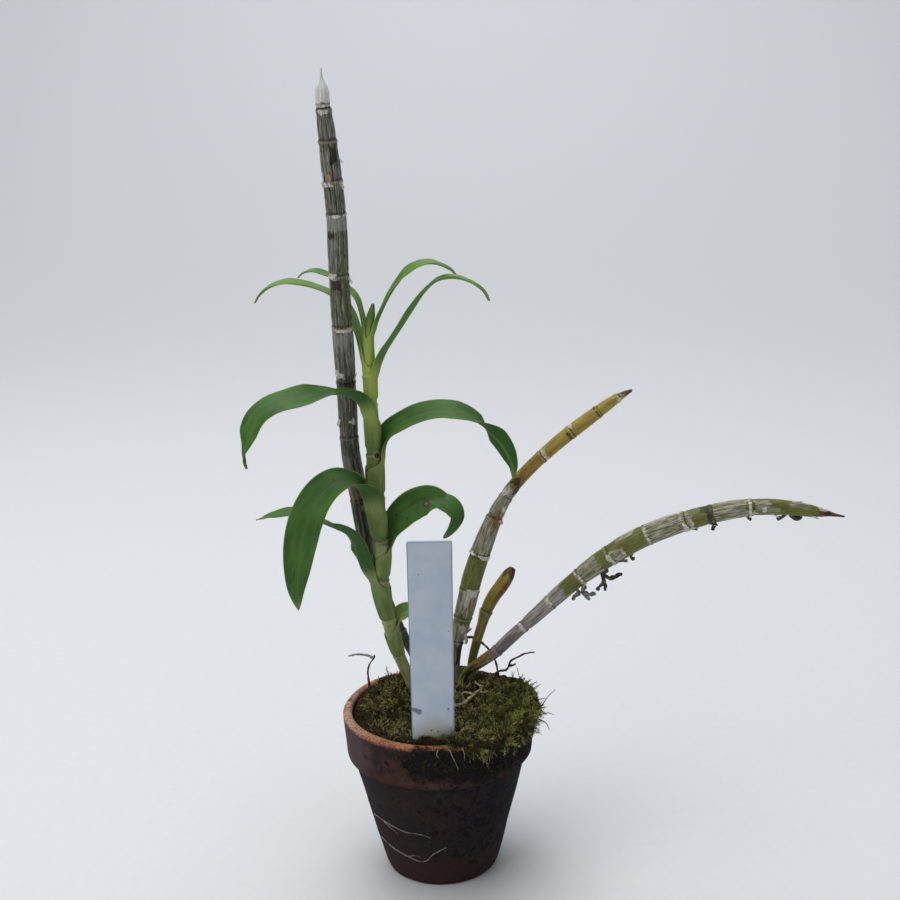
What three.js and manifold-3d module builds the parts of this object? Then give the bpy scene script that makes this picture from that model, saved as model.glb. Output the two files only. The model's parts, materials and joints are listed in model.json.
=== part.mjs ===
// A dendrobium orchid growing in a clay pot: five canes, ten leaves and a leaf bud, roots, moss and a plant
// label. Millimetres, +Z up. Everything is laid out round the pot's axis, with X to the right, Y away
// from the front and Z = 0 under the foot. The last lines move the origin under the middle of it all.
import * as THREE from "three";
import { mergeVertices } from "three/addons/utils/BufferGeometryUtils.js";
import Module from "manifold-3d";

const wasm = await Module();
wasm.setup();

// ---------------------------------------------------------------------------------------------
// Driving dimensions
// ---------------------------------------------------------------------------------------------

const GAP = 0.35; // room between two pieces that touch

const POT = {
  height: 61.5,
  rimRadius: 35,
  collarRadius: 33.8, // at the collar's lower edge
  collarHeight: 17,
  neckRadius: 31.8, // of the body where it meets the collar
  footRadius: 20.8,
  wall: 3.2,
  floor: 4.5,
  drainRadius: 5,
  drainBevel: 0.5,
  footBevel: 0.9,
  collarEdge: 1.1, // rounding of the collar's lower edge
  undercut: 0.3, // of the collar's lower face, next to the neck
  collarInside: 3, // how far below the top the inner wall stops opening
  sides: 36,
};
POT.collarBottom = POT.height - POT.collarHeight;

const FILL = {
  top: 58, // the potting medium's height in the middle
  edge: 54,
  lump: 0.7,
};

const MOSS = {
  crown: 64.4, // highest ground, behind the label
  crownAt: [2, 15],
  crownWidth: 17,
  ground: 62.6,
  dipAt: [-27, -8], // where the moss has shrunk from the wall
  dipWidth: 12,
  dip: 5,
  lump: 1.1,
  least: 2.2, // its least depth
  sink: 1, // how far it reaches into the medium before the medium is cut out of it
  shrunk: 0.2, // its extra room inside the wall
  drapeFrom: -88, // the stretch of rim, in degrees from +X, that the moss hangs over
  drapeTo: 48,
  drapeFade: 16,
  drapeOut: 1.9, // its thickness on the rim
  drapeDown: 5.2,
};

const LABEL = {
  width: 14.6,
  length: 101,
  point: 12, // length of the tapered end
  thickness: 0.9,
  corner: 0.8,
  lean: 12.9, // degrees, outwards over the front rim
  showing: 78.2,
  foot: [-1.7, -28.5, 62.5], // where it comes out of the moss
};

// A cane's spine is a list of places along its middle, from its foot to its tip. Each joint is a
// distance along the spine and the cane's radius there.
const CANES = {
  old_cane_tall: {
    colour: 0x6f7058,
    sides: 12,
    flute: 0.035,
    spine: [
      [-4, 15, 59],
      [-7, 15, 70],
      [-13.5, 15.5, 84],
      [-20, 16, 99],
      [-24, 16, 114],
      [-27, 15, 136],
      [-29.5, 13.5, 155],
      [-29.7, 11.5, 174],
      [-29.8, 5, 201],
      [-29.9, 2, 219],
      [-29.7, -1.5, 239],
      [-31, -6, 263],
      [-31.9, -8, 276],
      [-31.9, -8.8, 286],
    ],
    joints: [
      [0, 1.4],
      [12, 1.6],
      [27, 1.9],
      [50, 3],
      [81, 3.45],
      [105, 3.3],
      [126, 3.4],
      [147, 3.6],
      [165, 3.4],
      [186, 3.4],
      [197, 3.2],
      [210, 2.9],
      [220, 2.25],
      [224, 2],
      [229, 0.5],
      [233.5, 0.35],
    ],
  },
  new_growth_stem: {
    colour: 0x8c9a4c,
    sides: 12,
    flute: 0,
    spine: [
      [-8, 11, 59],
      [-11.6, 9, 70],
      [-15, 8, 80],
      [-17.6, 7, 92],
      [-19.3, 6, 101],
      [-19.9, 5.5, 108],
      [-19.1, 5, 118],
      [-19.6, 5, 125],
      [-20.4, 5, 138],
      [-20.5, 5, 158],
      [-20.9, 5.3, 180],
      [-20.9, 6.8, 198],
      [-18.9, 6.6, 208.5],
    ],
    joints: [
      [0, 1.8],
      [11, 2],
      [20, 2.2],
      [34, 2.55],
      [51, 3.1],
      [66, 2.75],
      [82, 3.15],
      [98, 2.75],
      [116, 2.15],
      [126, 1.9],
      [138, 1.3],
      [143, 0.95],
      [147, 1.6],
      [152, 0.4],
    ],
  },
  right_cane_upper: {
    colour: 0x8f8a3a,
    sides: 12,
    flute: 0,
    spine: [
      [6.5, 14, 59],
      [6.6, 14, 72],
      [8.1, 13.4, 83],
      [9.7, 13, 90.2],
      [11.4, 12.2, 97],
      [13.2, 11.6, 105],
      [15.7, 11, 113],
      [18.3, 10, 120.7],
      [21.3, 9.3, 128.1],
      [24.9, 9, 135.3],
      [31.7, 8.3, 144.7],
      [44, 7.5, 156.6],
      [53.9, 6.8, 164.5],
      [65.4, 6, 173],
      [70.9, 6, 176],
    ],
    joints: [
      [0, 1.4],
      [10, 1.5],
      [21, 1.9],
      [31.5, 3.4],
      [43, 3.7],
      [58, 3.6],
      [72.5, 2.9],
      [81.5, 2.3],
      [101.5, 2.35],
      [115, 2.55],
      [127, 2.3],
      [135.5, 1.7],
      [141.5, 0.4],
    ],
  },
  stub_cane: {
    colour: 0x9a8f34,
    sides: 10,
    flute: 0,
    spine: [
      [12, 17, 59],
      [12.4, 17, 68.5],
      [14.9, 17, 79.2],
      [16.8, 17, 85.3],
      [18.4, 17, 90.5],
      [21.3, 16.5, 96.6],
      [24.4, 16, 101.1],
      [28.8, 16, 108.1],
    ],
    joints: [
      [0, 1.4],
      [10, 1.5],
      [27, 1.9],
      [32.5, 2.3],
      [46, 2.65],
      [50.5, 2.3],
      [52.8, 1],
    ],
  },
  arching_cane: {
    colour: 0x87873f,
    sides: 12,
    flute: 0,
    spine: [
      [7.2, 9.3, 59],
      [9.9, 9.8, 68.5],
      [16.5, 9, 74.2],
      [21.8, 8, 78.4],
      [26.6, 6.4, 83.7],
      [36.5, 3.5, 94.1],
      [45, 1, 103.1],
      [53.6, -2, 111.7],
      [65.4, -6, 121.5],
      [75.3, -9, 127.8],
      [86, -12, 132.7],
      [101.4, -16, 137.7],
      [114.5, -18, 139.1],
      [127.6, -20, 137.9],
      [138.9, -21.5, 136],
    ],
    joints: [
      [0, 1.4],
      [10, 1.6],
      [26, 2.2],
      [40.5, 2.2],
      [54.5, 2.65],
      [70, 3.05],
      [84, 3.65],
      [99.5, 3.65],
      [113.5, 3.35],
      [123, 3.2],
      [136.5, 2.85],
      [149.5, 2.5],
      [156.5, 2.05],
      [161, 1.3],
      [164, 0.6],
      [167.5, 0.3],
    ],
  },
};
const JOINT = { ring: 0.3, half: 0.8, waist: 0.97, swell: 1.03 };

// Dry flower stalk stubs under the arching cane: routes from inside the cane outwards.
const STUBS = [
  [[56, -3.2, 113.5], [53.1, -2, 107], [51, -2, 104], [48.8, -2, 101.4]],
  [[53.1, -2, 107], [53, -2.3, 104.3], [55.2, -2.5, 101.4]],
  [[62.5, -5, 117.5], [59.6, -5, 111.2], [60.2, -4.6, 108], [60.7, -4.5, 105.4]],
  [[59.6, -5, 111.2], [62.7, -5, 110.4], [64.5, -5, 111.4]],
  [[97.3, -15, 135.5], [96.3, -15, 132.6], [95.9, -15, 130.1]],
];
const STUB_RADIUS = 0.65;

// A leaf's rib is a list of places along its keel, from the joint that it clasps to its tip. The
// clasp is half the angle of its hold on the stem, and the rolls, evenly spaced along the rib, turn
// its upper face towards the front, in degrees.
const LEAF = {
  ribThickness: 0.85,
  edgeThickness: 0.62,
  across: 6,
  along: 14,
  crowding: 1.25, // stations lie closer together near the foot
  trough: 0.5, // half the angle of the blade's cross-section, past the clasp
  troughEnd: 0.28,
  claspEnd: 0.24, // share of the length
  widest: 0.48,
  ripple: 0.35,
  ripples: 2.5,
};
const LEAVES = {
  leaf_upper_left: {
    colour: 0x5d7d36,
    stem: 1.8,
    clasp: 1.25,
    width: 7.5,
    roll: [0, 0, 0, 10, 10],
    rib: [
      [-23.6, 6.8, 188],
      [-24.3, 7.8, 192.5],
      [-25.7, 10.8, 198.7],
      [-27.8, 14, 204.2],
      [-31.6, 15.8, 209],
      [-37, 16.6, 212.2],
      [-43.5, 16.9, 214.4],
      [-49.6, 17.4, 215.2],
      [-53.8, 17.6, 214.6],
      [-57.4, 17.5, 213],
      [-59.7, 17.5, 210.8],
      [-61.3, 17, 208.2],
    ],
  },
  leaf_top_left: {
    colour: 0x76964a,
    stem: 1.3,
    clasp: 1.1,
    width: 5.2,
    roll: [0, 0, 0, 10, 10],
    rib: [
      [-22.9, 7.4, 197.5],
      [-23.2, 8.3, 203],
      [-24.7, 10.2, 209],
      [-27.5, 12.3, 212.8],
      [-31, 13, 215.8],
      [-35.5, 13, 218.2],
      [-40.3, 12, 219.6],
      [-43.1, 11.5, 218.9],
      [-45, 11, 217.3],
    ],
  },
  leaf_top_right: {
    colour: 0x76964a,
    stem: 1.2,
    clasp: 1.1,
    width: 6.4,
    roll: [0, 6, 20, 15, 10],
    rib: [
      [-18.8, 6.8, 198],
      [-17.8, 6.8, 201.5],
      [-16.3, 6.8, 205.3],
      [-14.1, 7, 209.8],
      [-10.9, 7, 214.6],
      [-7, 7, 218.8],
      [-2.4, 6.4, 221.3],
      [1.8, 6, 221.9],
      [5.9, 5.6, 220.8],
      [8.7, 5.5, 218.9],
      [10.2, 5, 216.9],
    ],
  },
  leaf_upper_right: {
    colour: 0x5d7d36,
    stem: 1.9,
    clasp: 1.3,
    width: 7,
    roll: [0, -5, -5, 5, 5],
    rib: [
      [-18, 5, 183.5],
      [-16.9, 5, 187.5],
      [-14.9, 5, 192],
      [-12.2, 5, 196.4],
      [-8.8, 4.7, 201.4],
      [-5, 4.3, 207],
      [-1.2, 3.4, 212.4],
      [2.6, 2.2, 215.9],
      [7, 1, 217.2],
      [11.4, -0.5, 217],
      [15.3, -2, 215.7],
      [18.9, -3, 212.9],
      [20.8, -4, 209.5],
    ],
  },
  leaf_middle_left: {
    colour: 0x3f6b2a,
    stem: 2.6,
    clasp: 1.7,
    width: 12,
    roll: [0, -8, 24, 26, 30, -25],
    rib: [
      [-23.9, 3.7, 169.5],
      [-24.7, 3.2, 173],
      [-27.3, 1.2, 176.7],
      [-31.3, -1, 178.4],
      [-36.3, -3, 178.8],
      [-41.3, -5, 178.5],
      [-47.7, -7, 177.4],
      [-54, -9, 175.7],
      [-58, -10.2, 172.9],
      [-60.6, -11, 169],
      [-62.6, -11.5, 164],
      [-63.8, -11.5, 159.7],
      [-63, -11.5, 155],
    ],
  },
  leaf_middle_right: {
    colour: 0x3f6b2a,
    stem: 3.1,
    clasp: 1.3,
    width: 11.5,
    roll: [40, 38, 35, 31, 24, 0, -58, -72, -66],
    rib: [
      [-17, 7, 153.5],
      [-16.8, 7, 157],
      [-16, 6.9, 160],
      [-14.3, 6.8, 162.6],
      [-11.2, 6.4, 165.2],
      [-6.8, 5.6, 167.8],
      [-2.1, 4.8, 169.5],
      [2.6, 3.8, 170.4],
      [7.8, 2.6, 170.3],
      [12.9, 1.4, 168.9],
      [17.5, 0.3, 166.4],
      [21, -0.3, 163.3],
      [24.3, -0.8, 159.4],
      [26.9, -1.2, 155],
      [28.3, -1.5, 150.8],
      [28.1, -2, 146],
    ],
  },
  leaf_lower_left: {
    colour: 0x41702c,
    stem: 3.5,
    clasp: 1.9,
    width: 12.8,
    roll: [0, 12, 36, 58, 62, 62],
    rib: [
      [-24.1, 2.7, 135.5],
      [-24.9, 2.1, 140.5],
      [-27.2, 0.4, 145],
      [-31, -1.8, 147.5],
      [-35.7, -4.7, 146.2],
      [-40.4, -7, 141.8],
      [-43.9, -9, 135.5],
      [-46.4, -10, 127],
      [-47.9, -10, 117.9],
      [-48.7, -9.5, 110.4],
      [-48.4, -9, 102.4],
    ],
  },
  leaf_lower_right: {
    colour: 0x3d6a2b,
    stem: 3.3,
    clasp: 1.2,
    width: 12.2,
    roll: [45, 58, 66, 68, 52, 14, 30, 42, 42],
    rib: [
      [-15.8, 7.7, 121],
      [-15.3, 7.7, 124],
      [-14.3, 7.7, 127.5],
      [-12.6, 7.7, 130.4],
      [-10.3, 7.8, 132.9],
      [-7.6, 8, 134.9],
      [-4.4, 8, 136.3],
      [-0.7, 7.6, 136.8],
      [3.1, 6.6, 136.1],
      [6.4, 5.4, 134.2],
      [7.9, 4.2, 131.4],
      [6.7, 3, 128.1],
      [3.3, 2, 124.5],
    ],
  },
  leaf_back_left: {
    colour: 0x46703a,
    stem: 3.4,
    clasp: 1.6,
    width: 9.2,
    roll: [0, -55, -35, 0, 15, 15],
    rib: [
      [-24.3, 6.4, 108.2],
      [-26.3, 5.6, 112],
      [-27.6, 4.9, 117],
      [-28.4, 4.9, 122],
      [-31, 6, 125.6],
      [-36, 8, 127.8],
      [-43.5, 10, 130.3],
      [-52.3, 12, 132.2],
      [-59.1, 13.5, 131.2],
      [-65.2, 14.5, 129.2],
    ],
  },
  leaf_low_right: {
    colour: 0x6f9440,
    stem: 2.7,
    clasp: 1.1,
    width: 6.6,
    roll: [30, 45, 45, 35, 30],
    rib: [
      [-14.2, 9, 90.5],
      [-13.4, 9, 93],
      [-11.6, 9.1, 94.6],
      [-8.9, 9.1, 94.8],
      [-5.8, 9, 93.4],
      [-3.4, 9, 91.2],
    ],
  },
};

const ROOT_RADIUS = 0.5;
const ROOT_SIDES = 6;
// Aerial roots in the open, each a main route and its branches.
const AIR_ROOTS = {
  aerial_root_left: [
    [
      [-25.5, 12, 56],
      [-26.1, 12.2, 65],
      [-26.4, 13, 70],
      [-25.4, 13, 72.8],
      [-24, 13, 74.7],
      [-23.6, 13, 76],
    ],
    [[-24, 13, 74.7], [-26.8, 12.3, 76.2], [-30, 11, 77.2], [-33.3, 9, 77.4]],
  ],
  aerial_root_loop: [
    [
      [10, 15.6, 81.2],
      [13.8, 20, 79],
      [16.4, 21, 76.8],
      [19.8, 20, 73.5],
      [21.6, 19, 70.2],
      [22.3, 18, 67.3],
      [22.4, 17.2, 57],
    ],
  ],
  aerial_root_right: [
    [
      [19.6, 20.4, 56],
      [21, 20.2, 63],
      [23.4, 20, 65.2],
      [25.8, 20, 65.6],
      [26.9, 20, 67.2],
      [27.7, 20, 69.2],
      [30.4, 20, 70.8],
      [33.2, 21, 71.7],
      [37, 22, 71.8],
    ],
  ],
};
// The root that creeps over the moss, as places in plan.
const CREEPING_ROOT = [[5.3, -12], [8.6, -8], [11.5, -4], [13.8, 0], [15.6, 3], [16.6, 6]];
// Dry roots that cling to the pot's front, as degrees from +X and heights.
const CLINGING_ROOTS = {
  clinging_root_upper: [[-154, 24.4], [-133, 24.6], [-118, 23.6], [-104, 23.6], [-98, 22.4]],
  clinging_root_lower: [
    [-154, 14.6],
    [-134, 13.2],
    [-118, 11.8],
    [-106, 11.1],
    [-96, 15.3],
    [-86, 18.2],
  ],
};
const CLINGING_RADIUS = 0.45;

// The rhizome that the canes grow from, and the roots below it, all inside the pot.
const RHIZOME = {
  radius: 2.3,
  route: [
    [13, 16.5, 55.4],
    [7, 13.2, 55.6],
    [0, 14, 55.4],
    [-5, 14.2, 55.6],
    [-9.5, 10.3, 55.4],
  ],
  side: [[7, 13.2, 55.6], [7.2, 9.4, 55.4], [7.4, 6.8, 54.6]],
};
const BURIED_ROOTS = [
  [[10, 15, 55], [15, 11, 44], [13, 6, 28], [15, 0, 14]],
  [[5, 13, 55], [4, 4, 42], [0, -6, 30], [3, -12, 18]],
  [[-3, 14, 55], [-6, 18, 42], [-10, 14, 26], [-6, 8, 11]],
  [[-8, 11, 55], [-17, 5, 44], [-17, -4, 30], [-12, -9, 17]],
];
const BURIED_RADIUS = 1;

const COLOURS = {
  clay: 0x6b3c2c,
  medium: 0x2b2118,
  moss: 0x4f5120,
  label: 0xc3cbe0,
  dryRoot: 0xb9aa8c,
  darkRoot: 0x3a2c22,
  rhizome: 0x5a4a30,
};

// ---------------------------------------------------------------------------------------------
// Geometry helpers
// ---------------------------------------------------------------------------------------------

const { lerp, clamp, smoothstep, degToRad } = THREE.MathUtils;
const vector = (place) => new THREE.Vector3(...place);

// A smooth line through hand-placed points.
const line = (places) => new THREE.CatmullRomCurve3(places.map(vector), false, "centripetal");

// The value at x of a curve of straight stretches through [x, value] pairs.
function between(pairs, x) {
  const next = pairs.findIndex(([at]) => at >= x);
  if (next <= 0) return pairs[next < 0 ? pairs.length - 1 : 0][1];
  const [x0, value0] = pairs[next - 1];
  const [x1, value1] = pairs[next];
  return lerp(value0, value1, (x - x0) / (x1 - x0));
}

// A closed surface from points and triangles, turned so that its faces point outwards.
function closed(points, faces) {
  let volume = 0;
  for (let i = 0; i < faces.length; i += 3) {
    const [a, b, c] = [points[faces[i]], points[faces[i + 1]], points[faces[i + 2]]];
    volume += a.dot(b.clone().cross(c));
  }
  const ordered = volume < 0 ? [...faces].reverse() : faces;
  return new THREE.BufferGeometry().setFromPoints(points).setIndex(ordered);
}

// Rings of equal length joined into one skin, which a point closes at each end.
function skin(rings, first, last) {
  const around = rings[0].length;
  const points = [first, ...rings.flat(), last];
  const at = (ring, i) => 1 + ring * around + (i % around);
  const end = rings.length - 1;
  const faces = [];
  for (let i = 0; i < around; i += 1) {
    faces.push(0, at(0, i + 1), at(0, i));
    faces.push(points.length - 1, at(end, i), at(end, i + 1));
    for (let ring = 0; ring < end; ring += 1) {
      faces.push(at(ring, i), at(ring, i + 1), at(ring + 1, i + 1));
      faces.push(at(ring, i), at(ring + 1, i + 1), at(ring + 1, i));
    }
  }
  return closed(points, faces);
}

// A round tube along a line. Its sizes are [share of the length, radius] pairs, one for each ring.
function tube(curve, sizes, sides, flute = 0) {
  const frontwards = new THREE.Vector3(0.05, -1, 0.12);
  const rings = sizes.map(([share, radius]) => {
    const middle = curve.getPointAt(share);
    const along = curve.getTangentAt(share);
    const side = along.clone().cross(frontwards).normalize();
    const front = side.clone().cross(along);
    return Array.from({ length: sides }, (_, i) => {
      const angle = (2 * Math.PI * i) / sides;
      const reach = radius * (1 + flute * Math.cos((angle * sides) / 2));
      return middle
        .clone()
        .addScaledVector(side, reach * Math.cos(angle))
        .addScaledVector(front, reach * Math.sin(angle));
    });
  });
  return skin(rings, curve.getPointAt(sizes[0][0]), curve.getPointAt(sizes.at(-1)[0]));
}

// A thin root along a line, tapering to its tip.
function root(places, radius, sides = ROOT_SIDES, steps = 10, grow = 0) {
  const shares = Array.from({ length: steps + 1 }, (_, i) => i / steps);
  const sizes = shares.map((share) => [share, radius * lerp(1, 0.6, share) + grow]);
  return tube(line(places), sizes, sides);
}

// Rings round the Z axis from profiles of [radius, height], which may change with the angle.
function turned(profileAt, sides, top, bottom) {
  const profiles = Array.from({ length: sides }, (_, i) => {
    const angle = (2 * Math.PI * i) / sides;
    return profileAt(angle).map(
      ([radius, height]) =>
        new THREE.Vector3(radius * Math.cos(angle), radius * Math.sin(angle), height),
    );
  });
  const rings = profiles[0].map((_, ring) => profiles.map((profile) => profile[ring]));
  return skin(rings, new THREE.Vector3(0, 0, top), new THREE.Vector3(0, 0, bottom));
}

function solid(geometry) {
  const plain = geometry.clone();
  plain.deleteAttribute("normal");
  plain.deleteAttribute("uv");
  const merged = mergeVertices(plain, 1e-4);
  return new wasm.Manifold(
    new wasm.Mesh({
      numProp: 3,
      vertProperties: new Float32Array(merged.attributes.position.array),
      triVerts: new Uint32Array(merged.index.array),
    }),
  );
}

function surface(manifold) {
  const mesh = manifold.getMesh();
  return new THREE.BufferGeometry()
    .setAttribute("position", new THREE.BufferAttribute(mesh.vertProperties, 3))
    .setIndex(new THREE.BufferAttribute(mesh.triVerts, 1));
}

const joined = (geometries) => geometries.map(solid).reduce((all, next) => all.add(next));

// The largest of the bodies that a cut leaves.
const largest = (manifold) =>
  manifold.decompose().reduce((best, body) => (body.volume() > best.volume() ? body : best));

function piece(name, geometry, colour, roughness = 0.7) {
  const material = new THREE.MeshStandardMaterial({ color: colour, roughness, metalness: 0 });
  const mesh = new THREE.Mesh(geometry, material);
  mesh.name = name;
  return mesh;
}

// ---------------------------------------------------------------------------------------------
// The pot
// ---------------------------------------------------------------------------------------------

const potOutside = (z) =>
  z < POT.collarBottom
    ? lerp(POT.footRadius, POT.neckRadius, z / POT.collarBottom)
    : lerp(POT.collarRadius, POT.rimRadius, (z - POT.collarBottom) / POT.collarHeight);

// The inner wall runs straight from the floor to the collar, and there it opens a little.
const potInside = (z) =>
  between(
    [
      [POT.floor, potOutside(POT.floor) - POT.wall],
      [POT.collarBottom, POT.neckRadius - POT.wall],
      [POT.height - POT.collarInside, POT.rimRadius - POT.wall],
    ],
    z,
  );

// The pot's outline turned round its axis, and with a growth the room that it needs.
function potGeometry(grow = 0) {
  const edge = POT.collarEdge;
  const lip = POT.wall / 2;
  const outline = new THREE.Path();
  outline.moveTo(POT.drainRadius - grow, POT.drainBevel);
  outline.lineTo(POT.drainRadius + POT.drainBevel, -grow);
  outline.lineTo(POT.footRadius - POT.footBevel, -grow);
  outline.lineTo(potOutside(POT.footBevel) + grow, POT.footBevel);
  outline.lineTo(POT.neckRadius + grow, POT.collarBottom + POT.undercut - grow);
  outline.lineTo(POT.collarRadius - edge, POT.collarBottom - grow);
  outline.quadraticCurveTo(
    POT.collarRadius + grow,
    POT.collarBottom - grow,
    potOutside(POT.collarBottom + edge) + grow,
    POT.collarBottom + edge,
  );
  outline.lineTo(POT.rimRadius + grow, POT.height - lip);
  outline.absarc(POT.rimRadius - lip, POT.height - lip, lip + grow, 0, Math.PI, false);
  outline.lineTo(potInside(POT.collarBottom) - grow, POT.collarBottom);
  outline.lineTo(potInside(POT.floor) - grow, POT.floor + grow);
  outline.lineTo(POT.drainRadius - grow, POT.floor + grow);
  outline.closePath();
  return new THREE.LatheGeometry(outline.getPoints(4), POT.sides).rotateX(Math.PI / 2);
}

// ---------------------------------------------------------------------------------------------
// The label, a flat stake with a tapered end
// ---------------------------------------------------------------------------------------------

function labelGeometry(grow = 0) {
  const half = LABEL.width / 2 + grow;
  const top = LABEL.showing + grow;
  const bottom = LABEL.showing - LABEL.length - grow;
  const outline = new THREE.Shape();
  outline.moveTo(-half, top - LABEL.corner);
  outline.lineTo(-half, bottom + LABEL.point);
  outline.lineTo(-half / 4, bottom);
  outline.lineTo(half / 4, bottom);
  outline.lineTo(half, bottom + LABEL.point);
  outline.lineTo(half, top - LABEL.corner);
  outline.quadraticCurveTo(half, top, half - LABEL.corner, top);
  outline.lineTo(-half + LABEL.corner, top);
  outline.quadraticCurveTo(-half, top, -half, top - LABEL.corner);
  const depth = LABEL.thickness + 2 * grow;
  const settings = { depth, bevelEnabled: false, curveSegments: 3 };
  return new THREE.ExtrudeGeometry(outline, settings)
    .translate(0, 0, -depth / 2)
    .rotateX(Math.PI / 2 + degToRad(LABEL.lean))
    .rotateY(degToRad(0.6))
    .translate(...LABEL.foot);
}

// ---------------------------------------------------------------------------------------------
// Canes
// ---------------------------------------------------------------------------------------------

// Ring sizes along a cane: a raised ring at each joint, and a slight swelling between two.
function caneSizes(joints, length, grow) {
  const inside = (distance) => clamp(distance / length, 0, 1);
  const sizes = [];
  joints.forEach(([distance, radius], i) => {
    if (i > 0) {
      const [before, beforeRadius] = joints[i - 1];
      const middle = (before + distance) / 2;
      const middleRadius = ((beforeRadius + radius) / 2) * JOINT.swell;
      if (distance - before > 6) sizes.push([inside(middle), middleRadius + grow]);
    }
    const ringed = radius > 1.25 && i > 1 && i < joints.length - 1;
    if (!ringed) {
      sizes.push([inside(distance), radius + grow]);
      return;
    }
    sizes.push([inside(distance - JOINT.half), radius * JOINT.waist + grow]);
    sizes.push([inside(distance), radius + JOINT.ring + grow]);
    sizes.push([inside(distance + JOINT.half), radius * JOINT.waist + grow]);
  });
  return sizes;
}

function caneGeometry({ spine, joints, sides, flute }, grow = 0) {
  const curve = line(spine);
  curve.arcLengthDivisions = 400;
  return tube(curve, caneSizes(joints, curve.getLength(), grow), sides, flute);
}

function stubSolids() {
  return STUBS.map((route) => root(route, STUB_RADIUS, 5, 4));
}

// ---------------------------------------------------------------------------------------------
// Leaves
// ---------------------------------------------------------------------------------------------

// Half the angle of the cross-section: it clasps the stem at its foot and opens along the blade.
function opening(share, clasp) {
  const open = smoothstep(share, 0.02, LEAF.claspEnd);
  return lerp(clasp, lerp(LEAF.trough, LEAF.troughEnd, share), open);
}

function bladeWidth(share, claspWidth, width) {
  const spread = lerp(claspWidth, width, smoothstep(share, 0, LEAF.widest));
  const past = Math.max(0, (share - LEAF.widest) / (1 - LEAF.widest));
  return Math.max(0.7, spread * (1 - past ** 2) ** 0.8);
}

// The blade as two grids of points, its upper and its lower face, with the same triangles on both.
function leafGeometry({ rib, width, clasp, stem, roll }) {
  const curve = line(rib);
  const heading = vector(rib[Math.floor(rib.length * 0.7)]).sub(vector(rib[0]));
  const sideways = new THREE.Vector3(heading.y, -heading.x, 0).normalize();
  const hold = stem + GAP + LEAF.ribThickness / 2;
  const rolls = roll.map((degrees, i) => [i / (roll.length - 1), degToRad(degrees)]);
  const upper = [];
  const lower = [];
  for (let i = 0; i <= LEAF.along; i += 1) {
    const share = (i / LEAF.along) ** LEAF.crowding;
    const foot = curve.getPointAt(share);
    const along = curve.getTangentAt(share);
    const side = sideways.clone().addScaledVector(along, -sideways.dot(along)).normalize();
    side.applyAxisAngle(along, Math.sign(heading.x) * between(rolls, share));
    const face = side.clone().cross(along);
    const half = opening(share, clasp);
    const bend = bladeWidth(share, 2 * clasp * hold, width) / (2 * half);
    for (let j = 0; j <= LEAF.across; j += 1) {
      const v = (2 * j) / LEAF.across - 1;
      const wave = LEAF.ripple * v * v * Math.sin(2 * Math.PI * LEAF.ripples * share + 2 * v);
      const lift = bend * (1 - Math.cos(v * half)) + wave * smoothstep(share, 0.2, 0.5);
      const middle = foot
        .clone()
        .addScaledVector(side, bend * Math.sin(v * half))
        .addScaledVector(face, lift);
      const outwards = face
        .clone()
        .multiplyScalar(Math.cos(v * half))
        .addScaledVector(side, -Math.sin(v * half));
      const thickness = lerp(LEAF.ribThickness, LEAF.edgeThickness, Math.abs(v)) / 2;
      upper.push(middle.clone().addScaledVector(outwards, thickness));
      lower.push(middle.clone().addScaledVector(outwards, -thickness));
    }
  }
  return closed([...upper, ...lower], bladeFaces());
}

function bladeFaces() {
  const row = LEAF.across + 1;
  const count = row * (LEAF.along + 1);
  const faces = [];
  const quad = (a, b, c, d) => faces.push(a, b, c, a, c, d);
  for (let i = 0; i < LEAF.along; i += 1) {
    for (let j = 0; j < LEAF.across; j += 1) {
      const a = i * row + j;
      faces.push(a, a + row, a + row + 1, a, a + row + 1, a + 1);
      const b = a + count;
      faces.push(b, b + row + 1, b + row, b, b + 1, b + row + 1);
    }
    const near = i * row;
    quad(near, near + count, near + row + count, near + row);
    const far = near + LEAF.across;
    quad(far, far + row, far + row + count, far + count);
  }
  const tip = row * LEAF.along;
  for (let j = 0; j < LEAF.across; j += 1) {
    quad(j, j + 1, j + 1 + count, j + count);
    quad(tip + j, tip + j + count, tip + j + 1 + count, tip + j + 1);
  }
  return faces;
}

// ---------------------------------------------------------------------------------------------
// Ground: the potting medium and the moss on it
// ---------------------------------------------------------------------------------------------

const bump = ([x, y], [cx, cy], width) =>
  Math.exp(-((x - cx) ** 2 + (y - cy) ** 2) / (2 * width * width));

const lumps = (x, y) =>
  0.6 * Math.sin(0.62 * x + 1.1) * Math.cos(0.71 * y - 0.4) +
  0.4 * Math.sin(1.13 * x - 0.8 * y) * Math.cos(0.5 * x + 1.2 * y);

function mossHeight(x, y) {
  const crown = (MOSS.crown - MOSS.ground) * bump([x, y], MOSS.crownAt, MOSS.crownWidth);
  const dip = MOSS.dip * bump([x, y], MOSS.dipAt, MOSS.dipWidth);
  return MOSS.ground + crown - dip + MOSS.lump * lumps(x, y);
}

// The medium is a low mound that always keeps a layer of moss above it.
function fillHeight(x, y) {
  const mound = lerp(FILL.top, FILL.edge, (x * x + y * y) / potInside(FILL.edge) ** 2);
  return Math.min(mound + FILL.lump * lumps(y, x), mossHeight(x, y) - MOSS.least);
}

const planPoint = (radius, angle) => [radius * Math.cos(angle), radius * Math.sin(angle)];

const fillRadii = [6, 12, 18, 24, potInside(FILL.edge) - GAP];

function fillGeometry() {
  const floor = POT.floor + GAP;
  const profileAt = (angle) => [
    ...fillRadii.map((r) => [r, fillHeight(...planPoint(r, angle))]),
    [potInside(POT.collarBottom) - GAP, POT.collarBottom],
    [potInside(floor) - GAP, floor],
  ];
  return turned(profileAt, POT.sides, fillHeight(0, 0), floor);
}

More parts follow.
